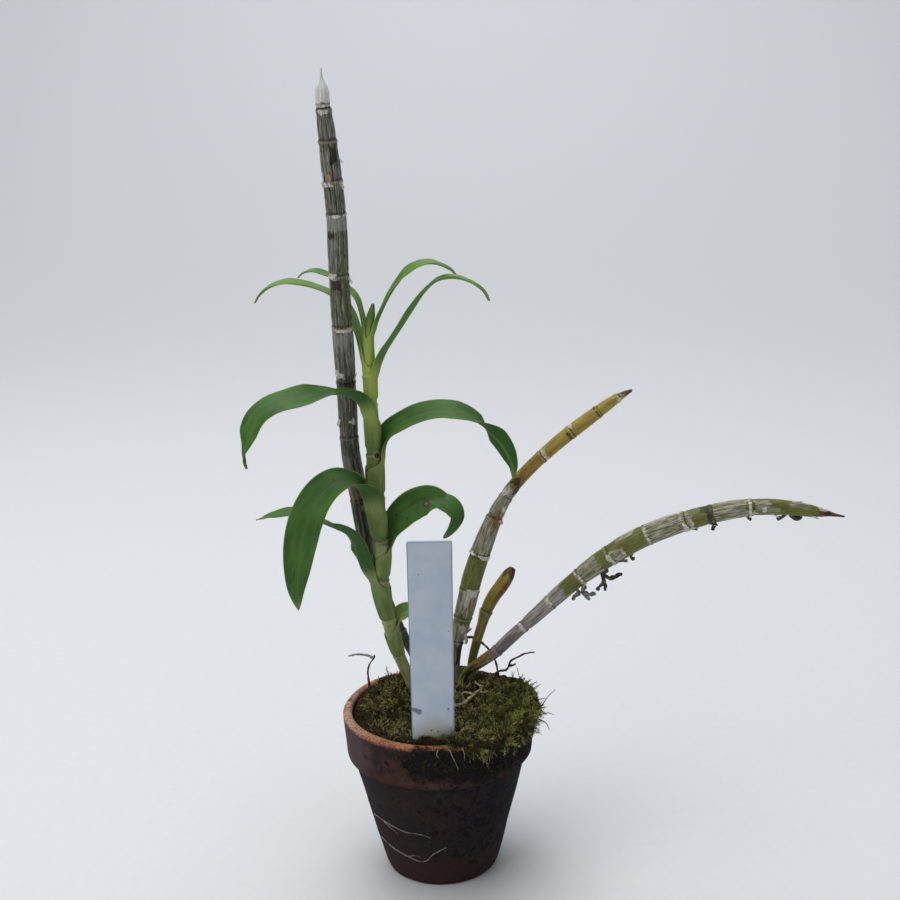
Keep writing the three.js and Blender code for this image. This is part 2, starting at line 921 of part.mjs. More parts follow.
// How far the moss hangs over the rim at an angle, from 0 to 1.
function drape(angle) {
  const degrees = (THREE.MathUtils.radToDeg(angle) + 180) % 360 - 180;
  const { drapeFrom, drapeTo, drapeFade } = MOSS;
  return (
    smoothstep(degrees, drapeFrom, drapeFrom + drapeFade) *
    (1 - smoothstep(degrees, drapeTo - drapeFade, drapeTo))
  );
}

// The moss's edge at an angle has seven points, from its top inwards. They lie against the wall where
// the moss stays inside the pot and over the rim where it hangs, and between the two they blend.
function mossEdge(angle) {
  const amount = drape(angle);
  const over = POT.height + GAP;
  const wall = potInside(POT.height) - GAP - MOSS.shrunk;
  const outside = POT.rimRadius + GAP;
  const ragged = 1.2 * Math.sin(9 * angle) + 0.8 * Math.sin(17 * angle + 1);
  const hem = over - MOSS.drapeDown - ragged;
  const edge = mossHeight(...planPoint(wall, angle));
  const within = [0.3, 1.2, 1.8, 2.2, 2.5, 2.8, 3.1].map((down) => [wall, edge - down]);
  const hanging = [
    [wall + 2, Math.max(edge, over + MOSS.drapeOut)],
    [outside + MOSS.drapeOut * 0.3, over + MOSS.drapeOut * 0.6],
    [outside + MOSS.drapeOut, over - MOSS.drapeOut * 0.6],
    [outside + MOSS.drapeOut * 0.8, hem + 0.6],
    [outside + 0.1, hem],
    [outside, over],
    [wall, over],
  ];
  return within.map(([r, z], i) => [
    lerp(r, hanging[i][0], amount),
    lerp(z, hanging[i][1], amount),
  ]);
}

// The moss reaches a little into the medium and the rim, which are then cut out of it.
function mossGeometry() {
  const underside = (r, angle) => fillHeight(...planPoint(r, angle)) - MOSS.sink;
  const profileAt = (angle) => {
    const top = [5, 10, 15, 20, 25].map((r) => [r, mossHeight(...planPoint(r, angle))]);
    const under = fillRadii.map((r) => [r, underside(r, angle)]).reverse();
    return [...top, ...mossEdge(angle), ...under];
  };
  return turned(profileAt, POT.sides, mossHeight(0, 0), underside(0, 0));
}

// ---------------------------------------------------------------------------------------------
// Roots and rhizome
// ---------------------------------------------------------------------------------------------

const airRootRoutes = Object.values(AIR_ROOTS).flat();

function rhizomeParts(grow = 0) {
  const steps = (places, count) => root(places, RHIZOME.radius, 8, count, grow);
  return [
    steps(RHIZOME.route, 10),
    steps(RHIZOME.side, 3),
    ...BURIED_ROOTS.map((places) => root(places, BURIED_RADIUS, 5, 7, grow)),
  ];
}

const clingingRoute = (places) =>
  places.map(([degrees, z]) => {
    const radius = potOutside(z) + GAP + CLINGING_RADIUS;
    return [...planPoint(radius, degToRad(degrees)), z];
  });

const creepingRoute = CREEPING_ROOT.map(([x, y]) => [
  x,
  y,
  mossHeight(x, y) + ROOT_RADIUS + 2 * GAP,
]);

// Everything that passes through the ground, a little larger than life, to cut its holes.
function passages() {
  return joined([
    labelGeometry(GAP),
    ...Object.values(CANES).map((cane) => caneGeometry(cane, GAP)),
    ...airRootRoutes.map((places) => root(places, ROOT_RADIUS, ROOT_SIDES, 10, GAP)),
    ...rhizomeParts(GAP),
  ]);
}

// ---------------------------------------------------------------------------------------------
// Assembly
// ---------------------------------------------------------------------------------------------

const holes = passages();
const fill = solid(fillGeometry());
const moss = solid(mossGeometry())
  .subtract(holes)
  .subtract(fill.translate([0, 0, GAP]))
  .subtract(solid(potGeometry(GAP)));

const container = new THREE.Group();
container.add(
  piece("pot", potGeometry(), COLOURS.clay, 0.85),
  piece(
    "potting_medium",
    surface(largest(fill.subtract(holes))),
    COLOURS.medium,
    0.95,
  ),
  piece("moss_mat", surface(largest(moss)), COLOURS.moss, 0.95),
  piece("plant_label", labelGeometry(), COLOURS.label, 0.45),
);

const plant = new THREE.Group();
plant.add(piece("rhizome", surface(joined(rhizomeParts())), COLOURS.rhizome));
for (const [name, cane] of Object.entries(CANES)) {
  const stubs = name === "arching_cane" ? stubSolids() : [];
  plant.add(piece(name, surface(joined([caneGeometry(cane), ...stubs])), cane.colour, 0.6));
}
for (const [name, leaf] of Object.entries(LEAVES)) {
  plant.add(piece(name, leafGeometry(leaf), leaf.colour, 0.5));
}
for (const [name, routes] of Object.entries(AIR_ROOTS)) {
  const strands = routes.map((places) => root(places, ROOT_RADIUS));
  plant.add(piece(name, surface(joined(strands)), COLOURS.darkRoot));
}
plant.add(piece("creeping_root", root(creepingRoute, ROOT_RADIUS), COLOURS.dryRoot));
for (const [name, places] of Object.entries(CLINGING_ROOTS)) {
  const strand = root(clingingRoute(places), CLINGING_RADIUS, ROOT_SIDES, 14);
  container.add(piece(name, strand, COLOURS.dryRoot));
}

// The origin goes under the middle of the whole part, on the surface that it stands on.
const orchid = new THREE.Group();
const laidOut = new THREE.Group().add(container, plant);
const reach = new THREE.Box3().setFromObject(laidOut);
const middle = reach.getCenter(new THREE.Vector3());
laidOut.position.set(-middle.x, -middle.y, -reach.min.z);
orchid.add(laidOut);

export default orchid;
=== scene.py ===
# %% [markdown]
# # A dendrobium orchid in a clay pot
# The plain solids of this plant come from a CAD model: a pot, a mat of moss, five canes, ten leaves,
# a few roots and a label. This lesson dresses them. Each cell makes one piece or one finish, and the
# cell before it says what that piece is on a living plant and why it is made in this way.
# Blender works in metres. A plant is easier to write down in millimetres, so every list of places
# here is in millimetres from the pot's axis, and is multiplied by MM where it is used.

import json
import math

import bpy
import numpy as np
from mathutils import Matrix, Vector, noise

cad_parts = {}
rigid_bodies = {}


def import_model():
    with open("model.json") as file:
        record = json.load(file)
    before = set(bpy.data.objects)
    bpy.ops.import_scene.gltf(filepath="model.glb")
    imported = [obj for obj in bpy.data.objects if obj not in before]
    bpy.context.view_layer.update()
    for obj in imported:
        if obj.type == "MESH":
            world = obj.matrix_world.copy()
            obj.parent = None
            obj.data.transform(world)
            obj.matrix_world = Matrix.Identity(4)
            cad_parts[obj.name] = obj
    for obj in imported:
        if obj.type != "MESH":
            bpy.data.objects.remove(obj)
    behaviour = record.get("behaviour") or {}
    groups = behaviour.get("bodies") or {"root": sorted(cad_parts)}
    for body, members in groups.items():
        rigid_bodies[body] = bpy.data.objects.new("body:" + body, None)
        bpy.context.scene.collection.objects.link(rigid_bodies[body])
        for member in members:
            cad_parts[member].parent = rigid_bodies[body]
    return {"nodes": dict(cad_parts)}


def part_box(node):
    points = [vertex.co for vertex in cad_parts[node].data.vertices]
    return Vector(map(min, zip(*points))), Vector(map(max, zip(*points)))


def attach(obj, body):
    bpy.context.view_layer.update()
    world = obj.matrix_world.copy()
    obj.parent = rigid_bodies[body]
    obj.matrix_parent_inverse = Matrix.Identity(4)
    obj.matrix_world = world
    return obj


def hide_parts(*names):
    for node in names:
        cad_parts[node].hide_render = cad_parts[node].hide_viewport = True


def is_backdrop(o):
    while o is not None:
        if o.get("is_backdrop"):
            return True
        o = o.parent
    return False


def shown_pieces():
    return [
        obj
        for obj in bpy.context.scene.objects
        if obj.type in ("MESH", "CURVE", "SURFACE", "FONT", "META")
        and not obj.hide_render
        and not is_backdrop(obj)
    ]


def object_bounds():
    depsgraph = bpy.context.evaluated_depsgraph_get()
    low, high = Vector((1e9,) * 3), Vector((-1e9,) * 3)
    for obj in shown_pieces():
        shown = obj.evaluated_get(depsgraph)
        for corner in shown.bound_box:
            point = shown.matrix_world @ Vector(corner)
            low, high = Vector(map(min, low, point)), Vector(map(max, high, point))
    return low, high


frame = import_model()
plain_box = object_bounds()
MM = 0.001
pot_low, pot_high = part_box("pot")
AXIS = np.array([(pot_low.x + pot_high.x) / 2, (pot_low.y + pot_high.y) / 2, 0.0])
RIM_RADIUS = (pot_high.x - pot_low.x) / 2
print("nodes:", len(frame["nodes"]), "pot axis:", AXIS.round(4), "rim radius:", round(RIM_RADIUS, 4))

# %% [markdown]
# ## Camera
# The camera comes first, so that every later look at the plant is the same one. It stands 0.43 m in
# front of the pot, a little above the middle of the plant, and looks slightly down. Its small roll
# is the one that a camera on a hand-set tripod often has.

# %% Set up the camera
PITCH_DOWN = math.radians(13.4)
ROLL = -0.024
CAMERA_FROM_AXIS = np.array([6.4, -425.0, 258.5]) * MM

bpy.ops.object.select_all(action="DESELECT")
bpy.ops.object.camera_add(location=AXIS + CAMERA_FROM_AXIS)
camera = bpy.context.object
camera.name = "camera"
turn = Matrix.Rotation(math.pi / 2 - PITCH_DOWN, 4, "X") @ Matrix.Rotation(ROLL, 4, "Z")
camera.rotation_euler = turn.to_euler()
camera.data.lens = 50
camera.data.sensor_width = 36
camera.data.clip_start = 0.01
bpy.context.scene.camera = camera
print("camera at", [round(c, 4) for c in camera.location])

# %% [markdown]
# ## Floor and light
# A sheet of pale paper that curves up behind the pot gives a floor without a horizon. It is a plane
# whose back edge is extruded upwards, and a wide bevel rounds the fold.
# Large area lights stand for a cloudy sky: most of the light comes from above and from the left, so
# the leaves shine on top while the front of the pot stays in soft shade.

# %% Make the floor
HALF_FLOOR, WALL_HEIGHT, FOLD = 6.0, 7.0, 4.8

bpy.ops.object.select_all(action="DESELECT")
bpy.ops.mesh.primitive_plane_add(size=2 * HALF_FLOOR, location=(0, 0, 0))
floor = bpy.context.object
floor.name = "floor"


def select_back_edge():
    """Selects nothing but the floor's edge that lies furthest back, ready for editing."""
    bpy.ops.object.mode_set(mode="EDIT")
    bpy.ops.mesh.select_all(action="DESELECT")
    bpy.ops.object.mode_set(mode="OBJECT")
    corners = floor.data.vertices
    for edge in floor.data.edges:
        ends = [corners[i].co for i in edge.vertices]
        edge.select = all(c.y > HALF_FLOOR - 0.01 and abs(c.z) < 0.01 for c in ends)
    bpy.ops.object.mode_set(mode="EDIT")


bpy.ops.object.mode_set(mode="EDIT")
bpy.ops.mesh.select_mode(type="EDGE")
select_back_edge()
bpy.ops.mesh.extrude_region_move(TRANSFORM_OT_translate={"value": (0, 0, WALL_HEIGHT)})
select_back_edge()
bpy.ops.mesh.bevel(offset=FOLD, segments=32)
bpy.ops.object.mode_set(mode="OBJECT")
bpy.ops.object.shade_smooth()
floor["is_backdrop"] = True
print("floor faces:", len(floor.data.polygons))

# %% [markdown]
# Three soft lights look at the plant, and one lights the wall.

# %% Hang the lights
PLANT_MIDDLE = Vector((0, 0, 0.14))


def soft_light(name, place, size, watts, tint):
    """An area light that points at the middle of the plant."""
    bpy.ops.object.light_add(type="AREA", location=place)
    lamp = bpy.context.object
    lamp.name = name
    lamp.data.size = size
    lamp.data.energy = watts
    lamp.data.color = tint
    aim = PLANT_MIDDLE - Vector(place)
    lamp.rotation_euler = aim.to_track_quat("-Z", "Y").to_euler()
    return lamp


soft_light("sky", (-0.2, 0.1, 1.4), 1.1, 9.5, (1.0, 1.0, 1.0))
soft_light("window_left", (-1.0, -0.7, 1.1), 1.1, 6.2, (1.0, 0.98, 0.95))
soft_light("fill_right", (1.2, -0.9, 0.5), 1.2, 0.9, (0.93, 0.96, 1.0))
backdrop = soft_light("backdrop_light", (0, 2.2, 3.6), 3.0, 78, (0.97, 0.98, 1.0))
backdrop.rotation_euler = (math.radians(35), 0, 0)
world = bpy.data.worlds.new("pale_room")
bpy.context.scene.world = world
world.use_nodes = True
surroundings = world.node_tree.nodes["Background"].inputs
surroundings["Color"].default_value = (0.88, 0.91, 0.96, 1)
surroundings["Strength"].default_value = 0.24
bpy.context.scene.view_settings.view_transform = "Standard"

# %% [markdown]
# ## Shader maths in plain Python
# A material is a graph of small nodes. Wiring it by hand is slow to read, so one small class wraps
# a node's output and lets Python's own signs add the Math nodes: `1 - mask` makes a Subtract node.
# All other nodes come from a single method, which takes the node's type, its settings and its inputs.


# %% Wrap a node's output and collect a finish
class Wire:
    """One output of a node. Sums with it add Math nodes."""

    def __init__(self, finish, output):
        self.finish = finish
        self.output = output

    def __add__(self, other):
        return self.finish.maths("ADD", self, other)

    def __sub__(self, other):
        return self.finish.maths("SUBTRACT", self, other)

    def __rsub__(self, other):
        return self.finish.maths("SUBTRACT", other, self)

    def __mul__(self, other):
        return self.finish.maths("MULTIPLY", self, other)

    __radd__ = __add__
    __rmul__ = __mul__


def colour(code):
    """A colour as a shader wants it, from the code that a colour picker shows."""
    shares = [int(code[i : i + 2], 16) / 255 for i in (1, 3, 5)]
    return [c / 12.92 if c < 0.04045 else ((c + 0.055) / 1.055) ** 2.4 for c in shares] + [1.0]


class Finish:
    """A material and the nodes that make it."""

    def __init__(self, name, gloss=0.5, coat=0.0):
        self.material = bpy.data.materials.new(name)
        self.material.use_nodes = True
        self.tree = self.material.node_tree
        self.shader = self.tree.nodes["Principled BSDF"]
        self.shader.inputs["Specular IOR Level"].default_value = gloss
        self.shader.inputs["Coat Weight"].default_value = coat
        self.paint = None

    def node(self, kind, settings, inputs, output=0):
        """Adds a node and returns one of its outputs."""
        made = self.tree.nodes.new("ShaderNode" + kind)
        for name, value in settings.items():
            setattr(made, name, value)
        for name, value in inputs.items():
            self.join(value, made.inputs[name])
        return Wire(self, made.outputs[output])

    def join(self, value, socket):
        """Links a wire to a socket, or sets the socket to a plain value."""
        if isinstance(value, Wire):
            self.tree.links.new(value.output, socket)
        else:
            socket.default_value = value

    def maths(self, operation, first, second=0.0):
        """Adds a Math node."""
        return self.node("Math", {"operation": operation}, {0: first, 1: second})

    def mix(self, share, first, second):
        """The first colour, turning into the second as the share goes from 0 to 1."""
        first, second = (colour(c) if isinstance(c, str) else c for c in (first, second))
        return self.node("Mix", {"data_type": "RGBA"}, {0: share, 6: first, 7: second}, 2)

    def wash(self, share, over):
        """Lays a colour over the paint so far, as thickly as the share says."""
        self.paint = self.mix(share, self.paint, over)

    def step(self, value, low, high):
        """A soft step: 0 where the value is under low and 1 where it is over high."""
        ends = {"Value": value, "From Min": low, "From Max": high}
        return self.node("MapRange", {"interpolation_type": "SMOOTHSTEP"}, ends)

    def mark(self, name):
        """A value that the mesh carries at each of its points."""
        return self.node("Attribute", {"attribute_name": name}, {}, "Fac")

    def place(self, name=None, scale=(1, 1, 1)):
        """Where a point lies: in the object's own space, or as a mark of the mesh says."""
        if name:
            where = self.node("Attribute", {"attribute_name": name}, {}, "Vector")
        else:
            where = self.node("TexCoord", {}, {}, "Object")
        return self.node("Mapping", {}, {"Vector": where, "Scale": scale})

    def coordinate(self, where, letter):
        """One of a place's three coordinates."""
        return self.node("SeparateXYZ", {}, {0: where}, letter)

    def grain(self, where, size, detail=4.0, roughness=0.55):
        """Soft noise whose patches are about this big, in metres."""
        inputs = {"Vector": where, "Scale": 1 / size, "Detail": detail, "Roughness": roughness}
        return self.node("TexNoise", {}, inputs)

    def near(self, where, point, radius):
        """1 at a point, fading to 0 at this distance from it."""
        away = self.node("VectorMath", {"operation": "DISTANCE"}, {0: where, 1: point}, "Value")
        return 1 - self.step(away, 0.0, radius)

    def finish(self, roughness, relief=None, height=0.0001):
        """Joins the paint, the roughness and the relief to the shader."""
        self.join(self.paint, self.shader.inputs["Base Color"])
        self.join(roughness, self.shader.inputs["Roughness"])
        if relief is not None:
            inputs = {"Height": relief, "Distance": height, "Strength": 1.0}
            bumped = self.node("Bump", {}, inputs)
            self.join(bumped, self.shader.inputs["Normal"])
        print("finish:", self.material.name, len(self.tree.nodes), "nodes")
        return self.material


print("middle grey, as a shader wants it:", round(colour("#808080")[0], 3))

# %% [markdown]
# The floor is plain paper: a pale grey with a trace of fibre, so that it isn't quite a flat colour.

# %% Finish the floor
paper = Finish("floor_paper")
fibre = paper.grain(paper.place(), 0.004)
paper.paint = paper.mix(fibre, "#e3e5e8", "#e9ebee")
floor.data.materials.append(paper.finish(0.8))

# %% [markdown]
# ## Tools for growing shapes
# Canes, leaves and roots all follow a bent line. Such a shape could be pushed along a curve with a
# Curve modifier, but that loses control of how a leaf turns round its own rib. Here a flat grid is
# added, and each of its points is moved to its place beside the line by one function. The grid
# brings its own order: one way it runs round the stem or across the leaf, the other way along it.


# %% Follow a smooth line
class SmoothLine:
    """A smooth line through given points, in millimetres, measured along its length."""

    STEPS_TO_A_KNOT = 40
    STEPS_TO_THE_LINE = 300

    def __init__(self, places):
        knots = np.array(places, float)
        knots = np.vstack([2 * knots[0] - knots[1], knots, 2 * knots[-1] - knots[-2]])
        pieces = []
        for a, b, c, d in zip(knots, knots[1:], knots[2:], knots[3:]):
            before, here, after = (np.linalg.norm(q - p) ** 0.5 for p, q in ((a, b), (b, c), (c, d)))
            leaving = c - b + here * ((b - a) / before - (c - a) / (before + here))
            arriving = c - b + here * ((d - c) / after - (d - b) / (here + after))
            t = np.linspace(0, 1, self.STEPS_TO_A_KNOT, endpoint=False)[:, None]
            square = (3 * (c - b) - 2 * leaving - arriving) * t**2
            pieces.append(b + leaving * t + square + (2 * (b - c) + leaving + arriving) * t**3)
        self.points = np.vstack([*pieces, knots[-2][None]])
        steps = np.linalg.norm(np.diff(self.points, axis=0), axis=1)
        self.distances = np.concatenate([[0], np.cumsum(steps)])
        self.length = self.distances[-1]

    def at(self, distance):
        """The places at these distances along the line."""
        return np.stack([np.interp(distance, self.distances, row) for row in self.points.T], -1)

    def heading(self, distance):
        """The line's direction at these distances."""
        step = self.length / self.STEPS_TO_THE_LINE
        ahead = self.at(np.minimum(distance + step, self.length))
        return unit(ahead - self.at(np.maximum(distance - step, 0)))


def unit(vectors):
    """The same directions with a length of one."""
    return vectors / np.linalg.norm(vectors, axis=-1, keepdims=True)


def soft_step(x, low, high):
    """0 under low, 1 over high, and smooth in between."""
    t = np.clip((x - low) / (high - low), 0, 1)
    return t * t * (3 - 2 * t)


def blend(first, second, share):
    """From the first to the second value as the share goes from 0 to 1."""
    return first + (second - first) * share


def bell(x, middle, width):
    """A smooth bump: 1 at the middle and almost 0 at twice the width from it."""
    return np.exp(-(((x - middle) / width) ** 2))


def crumple(points, size, seed=0):
    """Smooth random values from about -1 to 1, which change over this size."""
    return np.array([noise.noise(Vector(p)) for p in points / size + 7.3 * seed])


print("a line through three points is", round(SmoothLine([[0, 0, 0], [5, 0, 0], [9, 3, 0]]).length, 2))

# %% [markdown]
# Most operators work on what is selected and active, so one small function selects a piece and
# nothing else, and another applies a modifier. Every grown piece is cleaned in the same way: points
# that lie on each other are merged, which closes the seam, and all faces turn outwards.


# %% Move a grid's points into place
MERGE_DISTANCE = 0.004 * MM


def select_only(piece):
    """Makes a piece the only one that is selected, and the active one."""
    bpy.ops.object.select_all(action="DESELECT")
    piece.select_set(True)
    bpy.context.view_layer.objects.active = piece


def apply_for_good(piece, modifier):
    """Turns what a modifier does into the piece's own mesh."""
    select_only(piece)
    bpy.ops.object.modifier_apply(modifier=modifier.name)


def tidy(piece):
    """Joins the points that have come together, turns all faces outwards and smooths the shading."""
    select_only(piece)
    bpy.ops.object.mode_set(mode="EDIT")
    bpy.ops.mesh.select_all(action="SELECT")
    bpy.ops.mesh.remove_doubles(threshold=MERGE_DISTANCE)
    bpy.ops.mesh.normals_make_consistent(inside=False)
    bpy.ops.object.mode_set(mode="OBJECT")
    bpy.ops.object.shade_smooth()


def add_mark(piece, name, values):
    """Stores a value or a place at each point of a piece, for its finish to read."""
    kind, key = ("FLOAT", "value") if values.ndim == 1 else ("FLOAT_VECTOR", "vector")
    attribute = piece.data.attributes.new(name, kind, "POINT")
    attribute.data.foreach_set(key, values.astype(np.float32).ravel())


def grown(name, columns, rows, place):
    """A flat grid whose points go where place(across, along) says. Both run from 0 to 1."""
    bpy.ops.object.select_all(action="DESELECT")
    bpy.ops.mesh.primitive_grid_add(x_subdivisions=columns, y_subdivisions=rows, size=1)
    piece = bpy.context.object
    piece.name = piece.data.name = name
    flat = np.empty(3 * len(piece.data.vertices))
    piece.data.vertices.foreach_get("co", flat)
    across, along = flat.reshape(-1, 3)[:, :2].T + 0.5
    points, marks = place(across, along)
    piece.data.vertices.foreach_set("co", (points * MM + AXIS).ravel())
    for mark, values in marks.items():
        add_mark(piece, mark, values)
    tidy(piece)
    return piece


def give_finish(piece, material):
    """Gives a piece this finish and no other."""
    piece.data.materials.clear()
    piece.data.materials.append(material)


def finished(piece, material, slot, *stands_for):
    """Gives a piece its finish and says which plain solids it stands for."""
    give_finish(piece, material)
    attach(piece, "root")
    if stands_for:
        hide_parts(*stands_for)
    print(piece.name, "faces:", len(piece.data.polygons))
    return piece


print("points closer than", MERGE_DISTANCE / MM, "mm are merged")

# %% [markdown]
# A cane or a root is a grid that is rolled up round its line. Noise on it is read at the same place
# on a straight tube, so it has no seam and follows every bend.


# %% Wrap points round a line
FRONTWARDS = np.array([0.05, -1, 0.12])


def beside(line, distance, angle, radius):
    """Places beside a line. Angle 0 is its right-hand side and a quarter turn on is its front."""
    along = line.heading(distance)
    side = unit(np.cross(along, FRONTWARDS))
    front = np.cross(side, along)
    outwards = np.cos(angle)[:, None] * side + np.sin(angle)[:, None] * front
    return line.at(distance) + radius[:, None] * outwards


def rolled(angle, distance, radius, squeeze=1.0):
    """The same place on a straight tube, with its length squeezed for drawn-out noise."""
    return np.stack([radius * np.cos(angle), radius * np.sin(angle), distance / squeeze], -1)


def strand(name, places, radius, sides=8, tip=0.4, knots=0.0, step=0.6):
    """A thin root or thread along a line, thinner towards its tip."""
    line = SmoothLine(places)
    rows = max(4, int(line.length / step))

    def place(across, along):
        angle, distance = 2 * np.pi * across, along * line.length
        around = np.stack([distance, 0.8 * np.cos(angle), 0.8 * np.sin(angle)], -1)
        lumpy = 1 + knots * crumple(around, 1.5, len(name))
        thick = radius * blend(1, tip, along) * lumpy * (along > 0) * (along < 1)
        skin = rolled(angle, distance, 1)
        return beside(line, distance, angle, thick), {"skin": skin * MM}

    return grown(name, sides, rows, place)


def strands(name, routes, radii, *form):
    """Several strands. The first has the first of the radii, its side branches have the last."""
    thickness = [radii[0], *[radii[-1]] * (len(routes) - 1)]
    numbered = enumerate(zip(routes, thickness))
    return [strand(f"{name}_{i}", route, radius, *form) for i, (route, radius) in numbered]


def join(name, parts):
    """Makes one object of several."""
    bpy.ops.object.select_all(action="DESELECT")
    for part in parts:
        part.select_set(True)
    bpy.context.view_layer.objects.active = parts[0]
    bpy.ops.object.join()
    parts[0].name = parts[0].data.name = name
    return parts[0]


upright = SmoothLine([[0, 0, 0], [0, 0, 5], [0, 0, 10]])
to_its_right = beside(upright, np.array([5.0]), np.array([0.0]), np.array([1.0]))
print("1 mm to the right of an upright line, half way up:", to_its_right.round(2))

# %% [markdown]
# ## The pot
# A small clay pot is thrown or pressed round an axis: a tapered body, a deep collar and a soft lip.
# It could be a profile that the Spin tool turns. Here it grows like a pot on the wheel instead: a
# ring of points is added at the foot, and is extruded upwards and resized again and again, over the
# lip and down inside, until it comes back to the drain hole and meets its own first ring.

# %% The pot's profile
POT_HEIGHT, WALL, FOOT_RADIUS, DRAIN_RADIUS = 61.5, 3.2, 20.8, 5.0
COLLAR_BOTTOM, COLLAR_RADIUS, NECK_RADIUS, FLOOR_TOP = 44.5, 33.8, 31.8, 4.5
RIM = RIM_RADIUS / MM


def straight(start, end, count):
    """Places spaced evenly from one [radius, height] to another, without the last."""
    return [list(blend(np.array(start), np.array(end), i / count)) for i in range(count)]


def rounding(centre, radius, first, last, count):
    """Places on an arc round a centre, from one angle to another, in degrees."""
    turns = np.radians(np.linspace(first, last, count))
    return [[centre[0] + radius * np.cos(a), centre[1] + radius * np.sin(a)] for a in turns]


profile = [
    *rounding((FOOT_RADIUS - 1.1, 1.1), 1.1, -90, -10, 5),
    *straight((FOOT_RADIUS + 0.6, 2.4), (NECK_RADIUS - 0.1, COLLAR_BOTTOM - 0.6), 22),
    [NECK_RADIUS, COLLAR_BOTTOM + 0.2],
    *rounding((COLLAR_RADIUS - 1.0, COLLAR_BOTTOM + 1.1), 1.1, -90, -4, 6),
    *straight((COLLAR_RADIUS + 0.25, COLLAR_BOTTOM + 2.4), (RIM, POT_HEIGHT - 1.9), 9),
    *rounding((RIM - WALL / 2, POT_HEIGHT - WALL / 2), WALL / 2, 0, 180, 13),
    *straight((RIM - WALL, POT_HEIGHT - 3), (NECK_RADIUS - WALL, COLLAR_BOTTOM), 7),
    *straight((NECK_RADIUS - WALL, COLLAR_BOTTOM), (FOOT_RADIUS - WALL + 1, FLOOR_TOP), 12),
    *straight((FOOT_RADIUS - WALL, FLOOR_TOP), (DRAIN_RADIUS + 0.4, FLOOR_TOP), 5),
    *rounding((DRAIN_RADIUS + 0.4, FLOOR_TOP - 0.4), 0.4, 90, 180, 3),
    *rounding((DRAIN_RADIUS + 0.4, 0.4), 0.4, 180, 270, 3),
]
print("profile points:", len(profile))

# %% [markdown]
# The profile is spun about the upright axis.

# %% Throw the pot
POT_SIDES = 144

bpy.ops.object.select_all(action="DESELECT")
bpy.ops.mesh.primitive_circle_add(
    vertices=POT_SIDES,
    radius=profile[0][0] * MM,
    location=(AXIS[0], AXIS[1], profile[0][1] * MM),
)
pot = bpy.context.object
pot.name = pot.data.name = "clay_pot"
bpy.ops.object.transform_apply(location=True, rotation=True, scale=True)
bpy.ops.object.mode_set(mode="EDIT")
bpy.ops.mesh.select_all(action="SELECT")
for (r0, z0), (r1, z1) in zip(profile, profile[1:] + profile[:1]):
    lift = {"value": (0, 0, (z1 - z0) * MM)}
    bpy.ops.mesh.extrude_region_move(TRANSFORM_OT_translate=lift)
    middle = (AXIS[0], AXIS[1], z1 * MM)
    bpy.ops.transform.resize(value=(r1 / r0, r1 / r0, 1), center_override=middle)
bpy.ops.object.mode_set(mode="OBJECT")
tidy(pot)
print("pot:", len(pot.data.polygons), "faces, height", round(pot.dimensions.z, 4))

# %% [markdown]
# Clay shrinks and slumps a little in the kiln, and years of knocks wear the lip. Two Displace
# modifiers with cloud textures give the long unevenness and the short pitting. Both are weak: the
# pot stays within a third of a millimetre of its plain solid.


# %% Wear the pot
def roughen(piece, name, size, strength, group=""):
    """Pushes a piece's skin in and out by a cloud pattern of this size."""
    pattern = bpy.data.textures.new(name, "CLOUDS")
    pattern.noise_scale = size
    pattern.noise_depth = 3
    modifier = piece.modifiers.new(name, "DISPLACE")
    modifier.texture = pattern
    modifier.texture_coords = "LOCAL"
    modifier.strength = strength
    modifier.mid_level = 0.5
    modifier.vertex_group = group
    apply_for_good(piece, modifier)


subdivide = pot.modifiers.new("finer", "SUBSURF")
subdivide.levels = subdivide.render_levels = 1
apply_for_good(pot, subdivide)
roughen(pot, "slump", 14 * MM, 0.5 * MM)
roughen(pot, "pits", 1.6 * MM, 0.14 * MM)
print("worn pot faces:", len(pot.data.polygons))

# %% [markdown]
# Old terracotta has many layers of colour. Minerals dry out on it as a mauve-grey bloom, the damp
# part goes brown to maroon, algae and soil leave black crusts where water runs over the rim, and the
# handled lip keeps the bare orange of the clay, with paler specks of grit.
# Each layer has its own mask, from height, from nearness to a point on the pot or from noise, and
# the layers are laid over each other like washes of paint. The damp body comes first.


# %% Paint the pot's body
def on_pot(degrees, height, radius=34.0):
    """A place on the pot's outside, at an angle from the right-hand side."""
    turn = math.radians(degrees)
    offset = np.array([radius * math.cos(turn), radius * math.sin(turn), height])
    return list(offset * MM + AXIS)


clay = Finish("old_terracotta", 0.25)
where = clay.place()
height = clay.coordinate(where, "Z")
cloudy = clay.grain(where, 14 * MM)
mottle = clay.grain(where, 4 * MM, 6)
fine = clay.grain(where, 0.7 * MM, 6, 0.7)
grit = clay.node("TexVoronoi", {}, {"Vector": where, "Scale": 1 / (1.5 * MM)}, "Distance")

clay.paint = clay.mix(clay.step(cloudy, 0.35, 0.65), "#271c1b", "#1f1a20")
clay.wash(clay.step(mottle, 0.5, 0.75) * 0.4, "#402a23")
clay.wash(clay.step(fine, 0.45, 0.8) * 0.28, "#573d36")
clay.wash(clay.step(fine + mottle, 0.75, 0.5) * 0.4, "#2a1e20")
low_down = 1 - clay.step(height + mottle * (12 * MM), 6 * MM, 26 * MM)
clay.wash(low_down * 0.4, "#4c2f27")
print("nodes for the body:", len(clay.tree.nodes))

# %% [markdown]
# The collar carries the bloom at its left, warm bare clay in front and a dusty patch beside the
# label. Its lip is worn to orange clay with chalky patches. The thin line under it lies in shade,
# and one green speck is a patch of algae.

